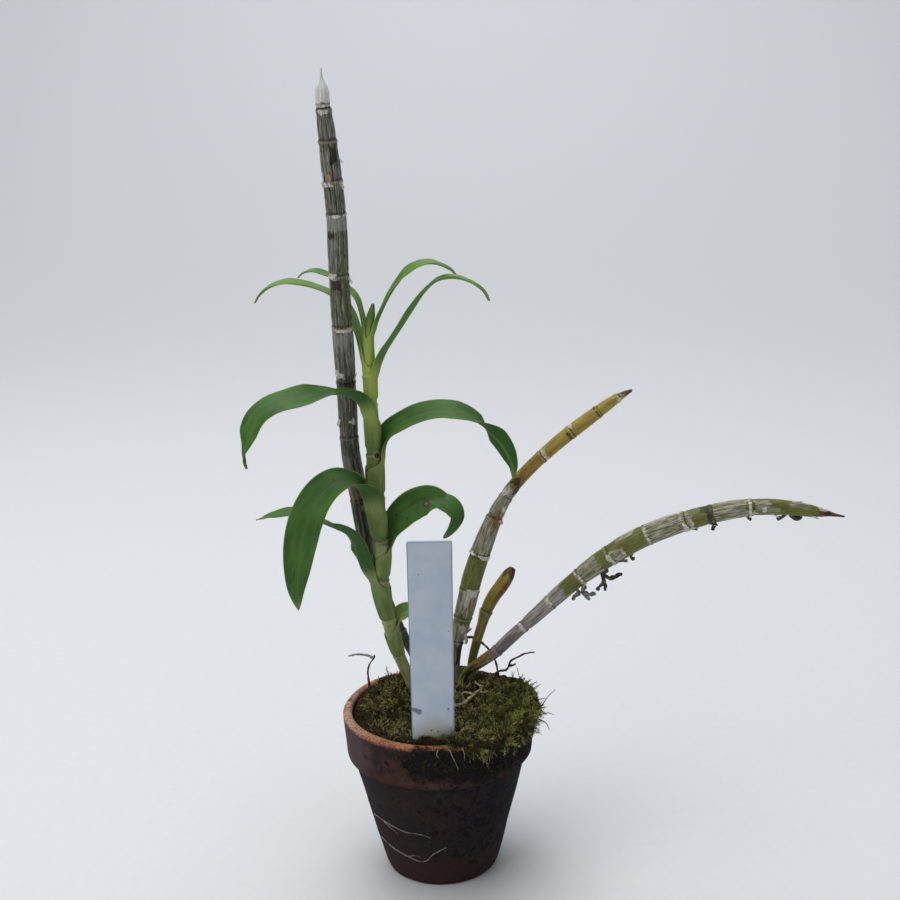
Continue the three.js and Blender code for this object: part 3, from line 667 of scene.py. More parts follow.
# %% Paint the collar and the lip
collar = clay.step(height, 44 * MM, 46 * MM)
bloom_left = clay.near(where, on_pot(-160, 54), 28 * MM)
bloom = clay.step(bloom_left + mottle * 0.5 + fine * 0.3, 0.62, 1.15) * collar
clay.wash(bloom * 0.6, "#625257")
warm_collar = clay.near(where, on_pot(-118, 50), 34 * MM) * collar
clay.wash(warm_collar * clay.step(mottle, 0.25, 0.7) * 0.6, "#57352b")
dusty_collar = clay.near(where, on_pot(-75, 50), 26 * MM) * collar
clay.wash(dusty_collar * clay.step(mottle, 0.45, 0.6) * 0.4, "#5e4645")

lip_height = POT_HEIGHT * MM
lip = clay.step(height + fine * (1.6 * MM), lip_height - 1.6 * MM, lip_height + 0.2 * MM)
orange = clay.mix(clay.step(fine, 0.35, 0.6), "#97583a", "#cf9268")
orange = clay.mix(clay.step(cloudy, 0.42, 0.65) * 0.45, orange, "#5f3d2c")
chalk = clay.near(where, on_pot(-172, POT_HEIGHT), 34 * MM) * clay.step(fine, 0.42, 0.58)
orange = clay.mix(chalk * 0.8, orange, "#d8c8b2")
clay.wash(lip * clay.step(mottle, 0.2, 0.5) * 0.9, orange)
shadow_line = clay.step(height, 42.2 * MM, 44.2 * MM) * (1 - collar)
clay.wash(shadow_line * 0.6, "#1d1515")
alga = clay.step(clay.near(where, on_pot(-139, 52.6), 2.2 * MM) + fine * 0.4, 0.6, 0.9)
clay.wash(alga * 0.85, "#1c2a16")
print("nodes with the collar:", len(clay.tree.nodes))

# %% [markdown]
# Soil and algae have run down over the collar where the moss hangs, and splashes have left specks
# lower down. The crust is the union of soft round spots, broken up by noise.

# %% Dirty the rim
CRUST_SPOTS = [  # angle, height, reach and strength
    [-101, 55.5, 12, 0.95],
    [-90, 55, 12, 1],
    [-74, 53, 13, 1],
    [-62, 51, 14, 1],
    [-44, 54, 16, 1],
    [-22, 53, 18, 1],
    [6, 54, 18, 1],
    [34, 56, 14, 0.9],
]
crust_field = 0.0
for degrees, up, reach, strength in CRUST_SPOTS:
    spot = clay.near(where, on_pot(degrees, up), reach * MM) * strength
    crust_field = clay.maths("MAXIMUM", crust_field, spot)
crust = clay.step(crust_field + mottle * 1.3 + fine * 0.6, 1.38, 1.56)
crust = crust * clay.step(height, 41 * MM, 46 * MM)
spatter = clay.grain(where, 3.2 * MM, 6, 0.8)
dirty_side = clay.near(where, on_pot(-34, 34, 28), 52 * MM)
specks = clay.step(spatter + dirty_side * 0.2, 0.65, 0.69)
small_spatter = clay.grain(where, 1.5 * MM, 4, 0.75)
small_specks = clay.step(small_spatter + dirty_side * 0.12, 0.7, 0.73)
crust = clay.maths("MAXIMUM", crust, clay.maths("MAXIMUM", specks, small_specks))
# Painted shade: the right side of the body, away from the main lights, is darkened.
painted_shade_right = clay.near(where, on_pot(-8, 30, 30), 52 * MM)
clay.wash(painted_shade_right * 0.3, "#2a2328")
soot = clay.mix(clay.step(fine, 0.5, 0.75), "#0b0a0c", "#2b2326")
clay.wash(crust * 0.93, soot)
# Painted highlight: a lighter reddish band along the collar's lower edge, above the painted shadow
# line.
edge_highlight_from = clay.step(height, 45 * MM, 45.6 * MM)
painted_edge_highlight = edge_highlight_from - clay.step(height + mottle * (3 * MM), 48 * MM, 50 * MM)
clay.wash(painted_edge_highlight * (1 - crust * 0.8) * 0.24, "#5c3d35")
pale_grit = (1 - clay.step(grit, 0.06, 0.12)) * clay.step(fine, 0.55, 0.75)
clay.wash(pale_grit * 0.5, "#9c8375")

relief = fine * 0.5 + mottle * 0.5 + crust * 0.9 - pale_grit * 0.2
finished(pot, clay.finish(0.95 - bloom * 0.05, relief, 0.5 * MM), "terracotta", "pot")

# %% [markdown]
# Crumbs of black soil and algae stand out on the collar where the moss hangs over it. A crumb is a
# small ball of a few faces, squashed and dented, and it is copied over the crust at sizes from a
# sixth of a millimetre to one. A thousand objects would be slow, so the copies go into one mesh.


# %% Copy small shapes into one mesh
def scattered(name, kind, places, turns, sizes, tones):
    """Copies of a small shape, each at its own place, turn and size, as one piece."""
    shape, faces = kind
    points = np.einsum("nij,pj->npi", turns, shape) * sizes[:, None, None] + places[:, None, :]
    offsets = np.arange(len(places))[:, None, None] * len(shape)
    corners = (offsets + np.array(faces)[None]).reshape(-1, len(faces[0]))
    mesh = bpy.data.meshes.new(name)
    mesh.from_pydata(points.reshape(-1, 3), [], corners.tolist())
    piece = bpy.data.objects.new(name, mesh)
    bpy.context.scene.collection.objects.link(piece)
    add_mark(piece, "tone", np.repeat(tones, len(shape)))
    add_mark(piece, "reach", np.tile(shape[:, 2], len(places)))
    return piece


def random_turns(chance, upwards, spread):
    """Turns that point a shape's Z along these directions, with a random lean and roll."""
    heading = unit(upwards + spread * chance.normal(size=upwards.shape))
    across = unit(np.cross(heading, unit(chance.normal(size=upwards.shape))))
    return np.stack([across, np.cross(heading, across), heading], -1)


bpy.ops.object.select_all(action="DESELECT")
bpy.ops.mesh.primitive_ico_sphere_add(subdivisions=1, radius=1)
ball = bpy.context.object
round_shape = np.array([v.co[:] for v in ball.data.vertices])
dented = round_shape * [1.25, 0.85, 0.6] * (1 + 0.25 * crumple(round_shape, 0.6)[:, None])
crumb = dented, [list(p.vertices) for p in ball.data.polygons]
bpy.data.objects.remove(ball)
print("faces in a crumb:", len(crumb[1]))

# %% [markdown]
# Most crumbs cling to the collar's right and front.

# %% Drop crumbs on the collar
chance = np.random.default_rng(11)
AT_THE_SIDE, IN_FRONT = 700, 500
count = AT_THE_SIDE + IN_FRONT
angles = np.append(chance.normal(-42, 30, AT_THE_SIDE), chance.normal(-86, 13, IN_FRONT))
around = np.radians(angles)
heights = np.clip(chance.normal(54.5, 3.6, count), 45.5, 60)
outside = blend(COLLAR_RADIUS, RIM, (heights - COLLAR_BOTTOM) / (POT_HEIGHT - COLLAR_BOTTOM))
outwards = np.stack([np.cos(around), np.sin(around), 0 * around], -1)
places = outwards * (outside + 0.05)[:, None] + np.stack([0 * around, 0 * around, heights], -1)
sizes = np.clip(chance.lognormal(-1.05, 0.45, count), 0.16, 0.95) * MM
turns = random_turns(chance, outwards, 0.3)
tones = chance.random(count)
crumbs = scattered("collar_crumbs", crumb, places * MM + AXIS, turns, sizes, tones)

soil = Finish("black_soil", 0.3)
damp = soil.grain(soil.place(), 0.8 * MM)
tone = soil.step(soil.mark("tone"), 0.55, 1.0)
soil.paint = soil.mix(tone * 0.6, "#15120e", "#3a2f1e")
soil_finish = soil.finish(0.9, damp, 0.2 * MM)
finished(crumbs, soil_finish, "bark_mix")

# %% [markdown]
# ## Potting medium
# The bark under the moss shows only in the gap at the left, where the moss has shrunk from the wall.
# Its solid already has the right form, so it stays and only gets a finish: dark, damp bark whose
# pieces are the cells of a Voronoi pattern.

# %% Finish the bark
bark = Finish("damp_bark", 0.35)
where = bark.place()
cells = {"Vector": where, "Scale": 1 / (4 * MM)}
edges = bark.node("TexVoronoi", {}, cells, "Distance")
brightness = bark.node("SeparateColor", {}, {0: bark.node("TexVoronoi", {}, cells, "Color")}, "Red")
bark.paint = bark.mix(brightness, "#15100b", "#3a2a1c")
bark.wash(bark.step(edges, 0.3, 0.7), "#0b0806")
bark_finish = bark.finish(0.8, (1 - edges) + bark.grain(where, 1 * MM) * 0.4, 0.8 * MM)
medium = frame["nodes"]["potting_medium"]
give_finish(medium, bark_finish)
print("bark on", medium.name)

# %% [markdown]
# ## Moss
# A moss cushion is thousands of little shoots over a spongy bed. The bed is a copy of the plain
# solid: a voxel remesh makes its faces small and even, and displacement makes it lumpy. It moves
# only where it faces upwards or hangs outside the rim, so that it never enters the pot's wall.

# %% Make the moss bed
moss_bed = bpy.data.objects.new("moss_bed", frame["nodes"]["moss_mat"].data.copy())
bpy.context.scene.collection.objects.link(moss_bed)
tidy(moss_bed)
remesh = moss_bed.modifiers.new("even", "REMESH")
remesh.mode = "VOXEL"
remesh.voxel_size = 0.5 * MM
apply_for_good(moss_bed, remesh)


def corners_of(piece):
    """The points of a mesh and their normals, as arrays."""
    flat = np.empty((2, 3 * len(piece.data.vertices)))
    piece.data.vertices.foreach_get("co", flat[0])
    piece.data.vertices.foreach_get("normal", flat[1])
    return flat.reshape(2, -1, 3)


points, normals = corners_of(moss_bed)
from_axis = points - AXIS
outside_rim = np.hypot(from_axis[:, 0], from_axis[:, 1]) > RIM_RADIUS + 0.6 * MM
free = np.clip(normals[:, 2] * 1.4, 0, 1)
free[outside_rim] = np.maximum(free[outside_rim], 0.8)
loose = moss_bed.vertex_groups.new(name="loose")
for i in np.nonzero(free > 0.05)[0]:
    loose.add([int(i)], float(free[i]), "REPLACE")
roughen(moss_bed, "tufts", 4 * MM, 3.4 * MM, "loose")
roughen(moss_bed, "crumbs", 0.9 * MM, 1.1 * MM, "loose")
bpy.ops.object.shade_smooth()
print("moss bed faces:", len(moss_bed.data.polygons))

# %% [markdown]
# The bed is what one sees between the shoots: dead, brown moss, painted almost black in the hollows
# as painted shade. Near the right rim, where it gets water and light, it is greener.

# %% Finish the moss bed
GREEN_SIDE = (np.array([32.0, -10.0, 61.0]) * MM + AXIS).tolist()
bed = Finish("old_moss", 0.15)
where = bed.place()
tufts = bed.grain(where, 2.2 * MM, 5, 0.65)
threads = bed.grain(where, 0.35 * MM, 3, 0.7)
# Painted shade: near black where the tufts noise, which also gives the bed its relief, is low.
bed.paint = bed.mix(bed.step(tufts, 0.35, 0.62), "#15120c", "#3f371f")
bed.wash(bed.step(threads, 0.5, 0.72) * 0.7, "#6b6136")
green = bed.near(where, GREEN_SIDE, 22 * MM)
bed.wash(green * bed.step(tufts, 0.4, 0.7) * 0.6, "#3c4622")
moss_finish = bed.finish(1.0, tufts + threads * 0.6, 0.9 * MM)
finished(moss_bed, moss_finish, "moss", "moss_mat")

# %% [markdown]
# A shoot of feather moss is a bent stalk with little pointed leaves on all sides. Each leaf is a flat
# pyramid of four faces, so a shoot stays a closed solid and has only some 60 to 70 faces. Three
# shapes of shoot are made, to be strewn over the bed wherever it faces up or hangs free.


# %% Model a moss shoot
def moss_shoot(bend, leaves, spread):
    """One shoot, one unit long, that grows along Z and bends towards X."""
    points, faces = [], []
    stalk = np.array([[bend * t * t, 0, t] for t in (0, 0.35, 0.7, 1)])
    for i, middle in enumerate(stalk[:-1]):
        for k in range(3):
            a = 2 * np.pi * k / 3
            reach = 0.028 - 0.006 * i
            points.append(middle + [reach * math.cos(a), reach * math.sin(a), 0])
    points.append(stalk[-1])
    for ring in (0, 3):
        for k in range(3):
            a, b = ring + k, ring + (k + 1) % 3
            faces += [[a, b, b + 3], [a, b + 3, a + 3]]
    faces += [[6, 7, 9], [7, 8, 9], [8, 6, 9], [0, 2, 1]]
    for i in range(leaves):
        t = 0.08 + 0.9 * i / leaves
        root = np.array([bend * t * t, 0, t])
        turn = 2.4 * i
        out = np.array([math.cos(turn), math.sin(turn), 0])
        across = np.array([-math.sin(turn), math.cos(turn), 0]) * 0.042
        tip = root + out * spread * (1 - 0.55 * t) + [0, 0, 0.19]
        start = len(points)
        points += [root - across, root + across, root + [0, 0, -0.05], tip]
        faces += [[start, start + 1, start + 3], [start + 1, start + 2, start + 3]]
        faces += [[start + 2, start, start + 3], [start, start + 2, start + 1]]
    return np.array(points), faces


shoot_kinds = [moss_shoot(0.45, 13, 0.24), moss_shoot(0.8, 14, 0.3), moss_shoot(0.15, 11, 0.18)]
print("faces in a shoot:", [len(faces) for _, faces in shoot_kinds])

# %% [markdown]
# All shoots share one finish. It reads the shoot's tone, from dead brown to living green, and how
# far up the shoot a point is, so that the tips are pale and the feet dark. The near-black feet and the
# dark patches of hollows are painted shade.

# %% Finish the shoots
moss = Finish("moss_shoots", 0.25)
patch = moss.grain(moss.place(), 5 * MM)
reach = moss.mark("reach")
moss.paint = moss.mix(moss.step(moss.mark("tone") + patch * 0.7, 0.55, 1.15), "#433820", "#5f6a2c")
moss.wash(moss.step(reach + patch * 0.4, 0.55, 1.35) * 0.9, "#b3aa69")
sunny = moss.near(moss.place(), GREEN_SIDE, 24 * MM) * moss.step(patch, 0.35, 0.6)
moss.wash(sunny * 0.75, "#a3aa44")
# Painted shade: the feet of the shoots, deep in the cushion, and patches of hollows are darkened.
moss.wash((1 - moss.step(reach, 0.0, 0.5)) * 0.75, "#15120b")
shaded_hollows = moss.step(moss.grain(moss.place(), 6 * MM, 2), 0.52, 0.38)
moss.wash(shaded_hollows * 0.75, "#1b170d")
moss_green = moss.finish(0.85)

# %% [markdown]
# Shoots stand in clumps: a smooth random value makes them longer here and shorter there, and another
# lays them down in swirls. At the left they lean inwards, where the moss has shrunk from the wall.


# %% Strew the shoots
def moss_seats(count, chance, low=0.15):
    """Places and normals on the moss bed where it faces up or hangs outside the rim."""
    points, normals = corners_of(moss_bed)
    x, y, z = (points - AXIS).T / MM
    radius = np.hypot(x, y)
    hanging = (radius > RIM + 0.8) & (normals[:, 2] > -0.6)
    shrunk = radius > np.where(y > 14, 28, blend(26, 40, soft_step(x, -25, -12)))
    open_top = (normals[:, 2] > low) & (z > 54) & ~shrunk
    seats = np.nonzero(open_top | hanging)[0]
    chosen = chance.choice(seats, count)
    return points[chosen], normals[chosen]


chance = np.random.default_rng(23)
sprouts = []
for kind, count in zip(shoot_kinds, (1900, 2000, 1000)):
    seats, facing = moss_seats(count, chance)
    x, y, z = (seats - AXIS).T / MM
    rightness = soft_step(x - 0.4 * y, 10, 42)
    inwards = -unit(np.stack([x, y, 0 * x], -1)) * soft_step(np.hypot(x, y), 15, 26)[:, None]
    inwards = inwards * (1 - rightness)[:, None]
    tones = np.clip(0.1 + 0.5 * rightness + 0.4 * chance.random(count), 0, 1)
    clump = crumple(seats / MM, 5.0, 4)
    sizes = chance.lognormal(1.05, 0.3, count) * (1 + 0.8 * clump)
    sizes = sizes * blend(1.0, 0.75, rightness) * MM
    sizes = np.clip(sizes * blend(1.0, 0.7, soft_step(y, 10, 24)), 1.4 * MM, 6 * MM)
    swirl = np.stack([crumple(seats / MM, 6.0, 5 + i) for i in range(3)], -1) * [3, 3, 0.5]
    lying = swirl + chance.normal(size=(count, 3)) * [0.5, 0.5, 0.25]
    turns = random_turns(chance, facing * 0.6 + lying + inwards * 0.8, 0.25)
    name = f"moss_shoots_{len(sprouts) + 1}"
    sprouts.append(scattered(name, kind, seats - facing * 0.4 * MM, turns, sizes, tones))
print("strewn:", [piece.name for piece in sprouts])

# %% [markdown]
# Beside the label, short shoots have crept up over the round lip. They lean outwards.

# %% Creep over the lip
chance = np.random.default_rng(31)
count = 260
turned = np.radians(chance.uniform(-89, -66, count))
out = np.stack([np.cos(turned), np.sin(turned), 0 * turned], -1)
lip_round = WALL / 2
over = chance.uniform(-lip_round, lip_round, count)
height = POT_HEIGHT - lip_round + np.sqrt(lip_round**2 - over**2)
seats = out * (RIM - lip_round + over)[:, None] + np.stack([0 * height, 0 * height, height], -1)
leaning = out * chance.uniform(0.2, 1.2, count)[:, None] + [0, 0, 0.35]
turns = random_turns(chance, leaning, 0.45)
tones = chance.uniform(0.3, 0.9, count)
sizes = chance.uniform(1.2, 3.0, count) * soft_step(np.degrees(turned), -92, -80) * MM
seats = (seats - out * 0.2) * MM + AXIS
sprouts.append(scattered("moss_on_rim", shoot_kinds[2], seats, turns, sizes, tones))
for piece in sprouts:
    finished(piece, moss_green, "moss")

# %% [markdown]
# ## Canes
# The canes of this orchid are its water stores: smooth, jointed stems. At each joint sat a leaf
# whose sheath wraps the next stretch of the cane, and when the leaf falls the sheath dries to white
# and grey paper that tears into streaks. So a cane is mostly told by what lies where along it.
# For every cane there is a spine, a list of joints with the radius at each, and a list of coats:
# what covers the skin, from where to where along the cane, round which side, and how frayed it is.

# %% The canes' spines and joints
SPINES = {
    "old_cane_tall": [
        [-4, 15, 59], [-7, 15, 70], [-13.5, 15.5, 84], [-20, 16, 99], [-24, 16, 114],
        [-27, 15, 136], [-29.5, 13.5, 155], [-29.7, 11.5, 174], [-29.8, 5, 201], [-29.9, 2, 219],
        [-29.7, -1.5, 239], [-31, -6, 263], [-31.9, -8, 276], [-31.9, -8.8, 286],
    ],
    "new_growth_stem": [
        [-8, 11, 59], [-11.6, 9, 70], [-15, 8, 80], [-17.6, 7, 92], [-19.3, 6, 101],
        [-19.9, 5.5, 108], [-19.1, 5, 118], [-19.6, 5, 125], [-20.4, 5, 138], [-20.5, 5, 158],
        [-20.9, 5.3, 180], [-20.9, 6.8, 198], [-18.9, 6.6, 208.5],
    ],
    "right_cane_upper": [
        [6.5, 14, 59], [6.6, 14, 72], [8.1, 13.4, 83], [9.7, 13, 90.2], [11.4, 12.2, 97],
        [13.2, 11.6, 105], [15.7, 11, 113], [18.3, 10, 120.7], [21.3, 9.3, 128.1], [24.9, 9, 135.3],
        [31.7, 8.3, 144.7], [44, 7.5, 156.6], [53.9, 6.8, 164.5], [65.4, 6, 173], [70.9, 6, 176],
    ],
    "stub_cane": [
        [12, 17, 59], [12.4, 17, 68.5], [14.9, 17, 79.2], [16.8, 17, 85.3], [18.4, 17, 90.5],
        [21.3, 16.5, 96.6], [24.4, 16, 101.1], [28.8, 16, 108.1],
    ],
    "arching_cane": [
        [7.2, 9.3, 59], [9.9, 9.8, 68.5], [16.5, 9, 74.2], [21.8, 8, 78.4], [26.6, 6.4, 83.7],
        [36.5, 3.5, 94.1], [45, 1, 103.1], [53.6, -2, 111.7], [65.4, -6, 121.5], [75.3, -9, 127.8],
        [86, -12, 132.7], [101.4, -16, 137.7], [114.5, -18, 139.1], [127.6, -20, 137.9],
        [138.9, -21.5, 136],
    ],
}
JOINTS = {
    "old_cane_tall": [
        [0, 1.4], [12, 1.6], [27, 1.9], [50, 3], [81, 3.45], [105, 3.3], [126, 3.4], [147, 3.6],
        [165, 3.4], [186, 3.4], [197, 3.2], [210, 2.9], [220, 2.35], [224.6, 2.4],
        [226.6, 2.25], [228.4, 1.3], [229.4, 0.55], [230.4, 0.35], [233.5, 0.3],
    ],
    "new_growth_stem": [
        [0, 1.8], [11, 2], [20, 2.2], [34, 2.55], [51, 3.1], [66, 2.75], [82, 3.15], [98, 2.75],
        [116, 2.15], [126, 1.9], [138, 1.3], [143, 0.95], [147, 1.6], [152, 0.4],
    ],
    "right_cane_upper": [
        [0, 1.4], [10, 1.5], [21, 1.9], [31.5, 3.4], [43, 3.7], [58, 3.6], [72.5, 2.9],
        [81.5, 2.3], [101.5, 2.35], [115, 2.55], [127, 2.3], [135.5, 1.7], [141.5, 0.4],
    ],
    "stub_cane": [
        [0, 1.4], [10, 1.5], [27, 1.9], [32.5, 2.3], [46, 2.65], [50.5, 2.3], [52.8, 1],
    ],
    "arching_cane": [
        [0, 1.4], [10, 1.6], [26, 2.2], [40.5, 2.2], [54.5, 2.65], [70, 3.05], [84, 3.65],
        [99.5, 3.65], [113.5, 3.35], [123, 3.2], [136.5, 2.85], [149.5, 2.5], [156.5, 2.05],
        [161, 1.3], [164, 0.6], [167.5, 0.3],
    ],
}
# Places where the radius changes with no ring round the cane.
PLAIN = {
    "old_cane_tall": (224.6, 226.6),
    "stub_cane": (27, 46, 50.5),
    "arching_cane": (149.5, 156.5),
}
lines = {name: SmoothLine(spine) for name, spine in SPINES.items()}
print({name: round(line.length, 1) for name, line in lines.items()})

# %% [markdown]
# The coats are the map of each cane. "paper" is dry sheath, torn lengthwise, "veil" is a thin grey
# film of it, "white" is a fresh tear, a flake, near white: partly the torn sheath's own colour and
# partly a painted highlight where it would catch the light, and "cap" is the bleached last sheath at
# the tip. "dark" is rot or an old scar, "tan" and "rust" are brown stains. "ripe" is skin that has
# gone from olive to gold, and "mauve" and "rosy" are the bare grey-pink skin low down on the arching
# cane. Each coat has its start and end along the cane and how far its ends are frayed. Where it
# doesn't go all round, the angle of its middle and its half width follow.


# %% What covers each cane
FRONT, ALL_ROUND = 90, 200  # the spread is more than half a turn
COATS = {
    "old_cane_tall": {
        "cap": [[222.4, 240, 0.5]],
        "white": [[219, 220, 0.5], [195.6, 196.8, 0.6, 125, 44], [196, 200.8, 0.6, 158, 12],
            [196, 199, 0.6, 88, 8], [185.5, 186.2, 0.4, 60, 70], [164.2, 166.2, 0.4, 125, 34],
            [146, 146.8, 0.4], [128.4, 131.6, 0.5, 125, 42], [110.6, 112.6, 0.8, 60, 22],
            [91.5, 96, 1, 140, 14]],
        "paper": [[210, 219.5, 1.5], [200, 208, 2, 130, 50], [195, 204, 1.5, 30, 45],
            [166, 178, 2, 130, 40], [129, 146, 1], [112, 123, 2, 150, 50], [100, 108, 2, 40, 40],
            [91, 98.6, 1.5, 135, 45], [62, 79, 2, 110, 90], [40, 58, 2, 60, 60], [24.5, 28, 0.6]],
        "dark": [[203, 209, 2, 60, 40], [178.6, 180.6, 1.5, 140, 40],
            [160.5, 163.6, 0.8, 110, 40], [124.5, 127, 0.6, 95, 60], [79.5, 82, 0.8, 70, 25]],
        "tan": [[197, 200, 0.6, 118, 20], [82, 88, 2, 140, 45]],
        "veil": [[180.8, 186, 0.4], [141, 146, 1.5], [91, 98.4, 1.5, 128, 46]],
    },
    "new_growth_stem": {
        "ripe": [[74, 81.5, 1.2], [55, 65.5, 1.5], [42, 50.5, 1.5], [27, 33.5, 1.5],
            [10, 19.5, 1.5]],
        "paper": [[79.5, 81.6, 0.5]],
    },
    "right_cane_upper": {
        "paper": [[5, 30.5, 2], [33, 42.5, 2, 80, 70], [58.5, 74, 0.6], [74, 86.5, 1, 90, 130]],
        "dark": [[12, 21, 2, 40, 60], [57.1, 57.7, 0.4], [73.2, 74.1, 0.5, 60, 70],
            [84, 88, 1.6, 36, 40], [87.6, 89.8, 1.6, 110, 50], [113.4, 115, 0.5, 60, 60],
            [126.4, 127.4, 0.4, 60, 110], [137, 139.6, 0.6, 150, 45]],
        "white": [[26, 29.5, 1.2, 60, 30], [38, 43, 1.5, 100, 22], [43.2, 44.6, 0.8, 60, 60],
            [58, 58.8, 0.6], [82.5, 86, 0.8, 120, 34], [77, 79, 0.8, 60, 26], [102.6, 103.8, 0.4],
            [115.8, 117, 0.4, 90, 110], [135.2, 136.6, 0.5, 100, 60]],
        "tan": [[70, 76, 2, 80, 36], [86, 102, 3, 60, 130], [103, 107, 2, 30, 60]],
        "ripe": [[91, 141.5, 6]],
        "rust": [[138.5, 141.5, 0.6]],
    },
    "stub_cane": {
        "ripe": [[22, 53, 4, 150, 70]],
        "tan": [[34, 47, 3, 40, 45], [16, 28, 3, 140, 24]],
        "dark": [[49, 52, 1.5, 30, 50], [44.4, 46, 0.8, 56, 14], [51.6, 53, 0.5, 60, 60]],
        "paper": [[31, 33, 0.5]],
        "rust": [[40, 48, 2, 60, 26], [49.5, 53, 1.5, 110, 80]],
    },
    "arching_cane": {
        "mauve": [[24, 63, 2]],
        "tan": [[14, 25, 2, 130, 40]],
        "paper": [[14, 24, 2, 60, 50], [28, 38, 2, 150, 70], [43, 62, 2, 90, 150],
            [70.6, 80, 1, 100, 130], [84.5, 90.4, 1, 60, 60], [88, 97, 2, 190, 40],
            [99.8, 112, 0.3], [112, 116.6, 0.8, 70, 80], [124, 135.4, 0.8],
            [137, 142.5, 0.8, 95, 50], [142, 146, 1.2, 60, 40], [149.6, 156, 2, 140, 40]],
        "dark": [[8, 17, 3, 70, 70], [119.8, 123.2, 1.2, 160, 46], [121.9, 123.3, 0.5],
            [160.5, 163, 0.4, 60, 80]],
        "rosy": [[26, 37, 2, 80, 60]],
        "white": [[39.4, 41.4, 0.8, 110, 60], [53.4, 56, 1, 110, 60], [69.9, 70.5, 0.4, 90, 140],
            [83.6, 84.5, 0.4, 80, 110], [84, 90, 0.6, 6, 12], [89.4, 90.4, 0.6, 60, 50],
            [112.2, 113.2, 0.6, 90, 130], [115.4, 116.6, 0.8, 60, 50],
            [135.4, 136.2, 0.4, 90, 150], [136.8, 138.2, 0.6, 95, 60], [139, 142, 0.6, 64, 14],
            [149, 157, 0.8, 185, 32], [99.8, 100.5, 0.4, 90, 150], [99.8, 112, 0.4, 176, 13],
            [124, 135, 0.6, 172, 10], [158.4, 161.6, 0.5, 150, 30]],
        "rust": [[159, 162, 0.8], [162.4, 168, 0.4]],
    },
}
COAT_KINDS = ("paper", "veil", "white", "cap", "dark", "ripe", "tan", "rust", "mauve", "rosy")
# Round scars on the green growth: distance along it, angle and radius in millimetres.
EYES = {"new_growth_stem": [[98.3, 66, 1.05], [128.3, 72, 0.45]]}
print("kinds of coat on each cane:", {name: len(coats) for name, coats in COATS.items()})

# %% [markdown]
# A cane swells a little between two joints. Each joint has a raised ring with a fine cleft past it.


# %% How thick a cane is
THINNEST_RINGED = 1.7
RING_HEIGHT, RING_WIDTH = 0.26, 0.45
CLEFT_DEPTH, CLEFT_WIDTH, CLEFT_AFTER = 0.12, 0.6, 1.1
SWELLING = 1.03


def ringed(name):
    """Where a cane has a raised ring: at its joints, but not at its foot and its thin tip."""
    thick = [at for at, radius in JOINTS[name][2:-1] if radius >= THINNEST_RINGED]
    return [at for at in thick if at not in PLAIN.get(name, ())]


def girth(name, distance):
    """A cane's radius along its length: a soft swelling between two joints, a ring at each."""
    at, radii = np.array(JOINTS[name]).T
    middles = [(a + b) / 2 for a, b in zip(at, at[1:]) if b - a > 6]
    pairs = zip(radii, radii[1:], at, at[1:])
    swollen = [SWELLING * (p + q) / 2 for p, q, a, b in pairs if b - a > 6]
    order = np.argsort([*at, *middles])
    even = np.arange(0, at[-1], 0.25)
    rough = np.interp(even, np.array([*at, *middles])[order], np.array([*radii, *swollen])[order])
    padded = np.pad(rough, 5, mode="edge")
    smooth = np.convolve(padded, np.ones(11) / 11, mode="valid")
    radius = np.interp(distance, even, smooth)
    for ring in ringed(name):
        radius += RING_HEIGHT * bell(distance, ring, RING_WIDTH)
        radius -= CLEFT_DEPTH * bell(distance, ring + CLEFT_AFTER, CLEFT_WIDTH)
    return radius


print("tall cane, radius at 100 mm:", girth("old_cane_tall", np.array([100.0])).round(2))

# %% [markdown]
# A coat's ends and sides are soft steps whose place is shifted by noise, which frays them. White
# flakes are also broken up sideways.


# %% How much of each coat lies at a place
def coat_amounts(coats, distance, angle, seed):
    """For each kind of coat, how much of it lies at each place, from 0 to 1."""
    wrapped = rolled(angle, distance, 1.6, 9)
    fray = crumple(wrapped, 0.7, seed)
    patchy = crumple(wrapped, 1.3, seed + 9)
    amounts = {kind: np.zeros_like(distance) for kind in COAT_KINDS}
    for kind, rows in coats.items():
        for start, end, frayed, *side in rows:
            middle, spread = side or (FRONT, ALL_ROUND)
            shift = 1.6 * frayed * fray
            lengthwise = soft_step(distance + shift, start - 0.2, start + 0.2)
            lengthwise = lengthwise * (1 - soft_step(distance - shift, end - 0.2, end + 0.2))
            turned = np.abs((np.degrees(angle) - middle + 180) % 360 - 180) + 22 * fray
            sideways = 1 - soft_step(turned, spread - 6, spread + 6)
            if kind == "white":
                sideways = sideways * soft_step(patchy, -0.45, -0.05)
            amounts[kind] = np.maximum(amounts[kind], lengthwise * sideways)
    return amounts


print("kinds of coat:", len(COAT_KINDS))

# %% [markdown]
# One function grows any cane. The sheath lies a tenth of a millimetre proud of the skin, so its torn
# edge is real. Dried canes shrivel into lengthwise ridges: the old one has deep ones, the others
# only a hint. The grid also carries each point's place on the cane as if it were straight, which is
# what the finish uses for streaks that follow the bend.


# %% Grow a cane
TYPICAL_RADIUS, SKIN_RADIUS = 3.3, 3.2
PROUD = {"paper": 0.11, "white": 0.14, "dark": -0.08}  # how far a coat stands off the skin


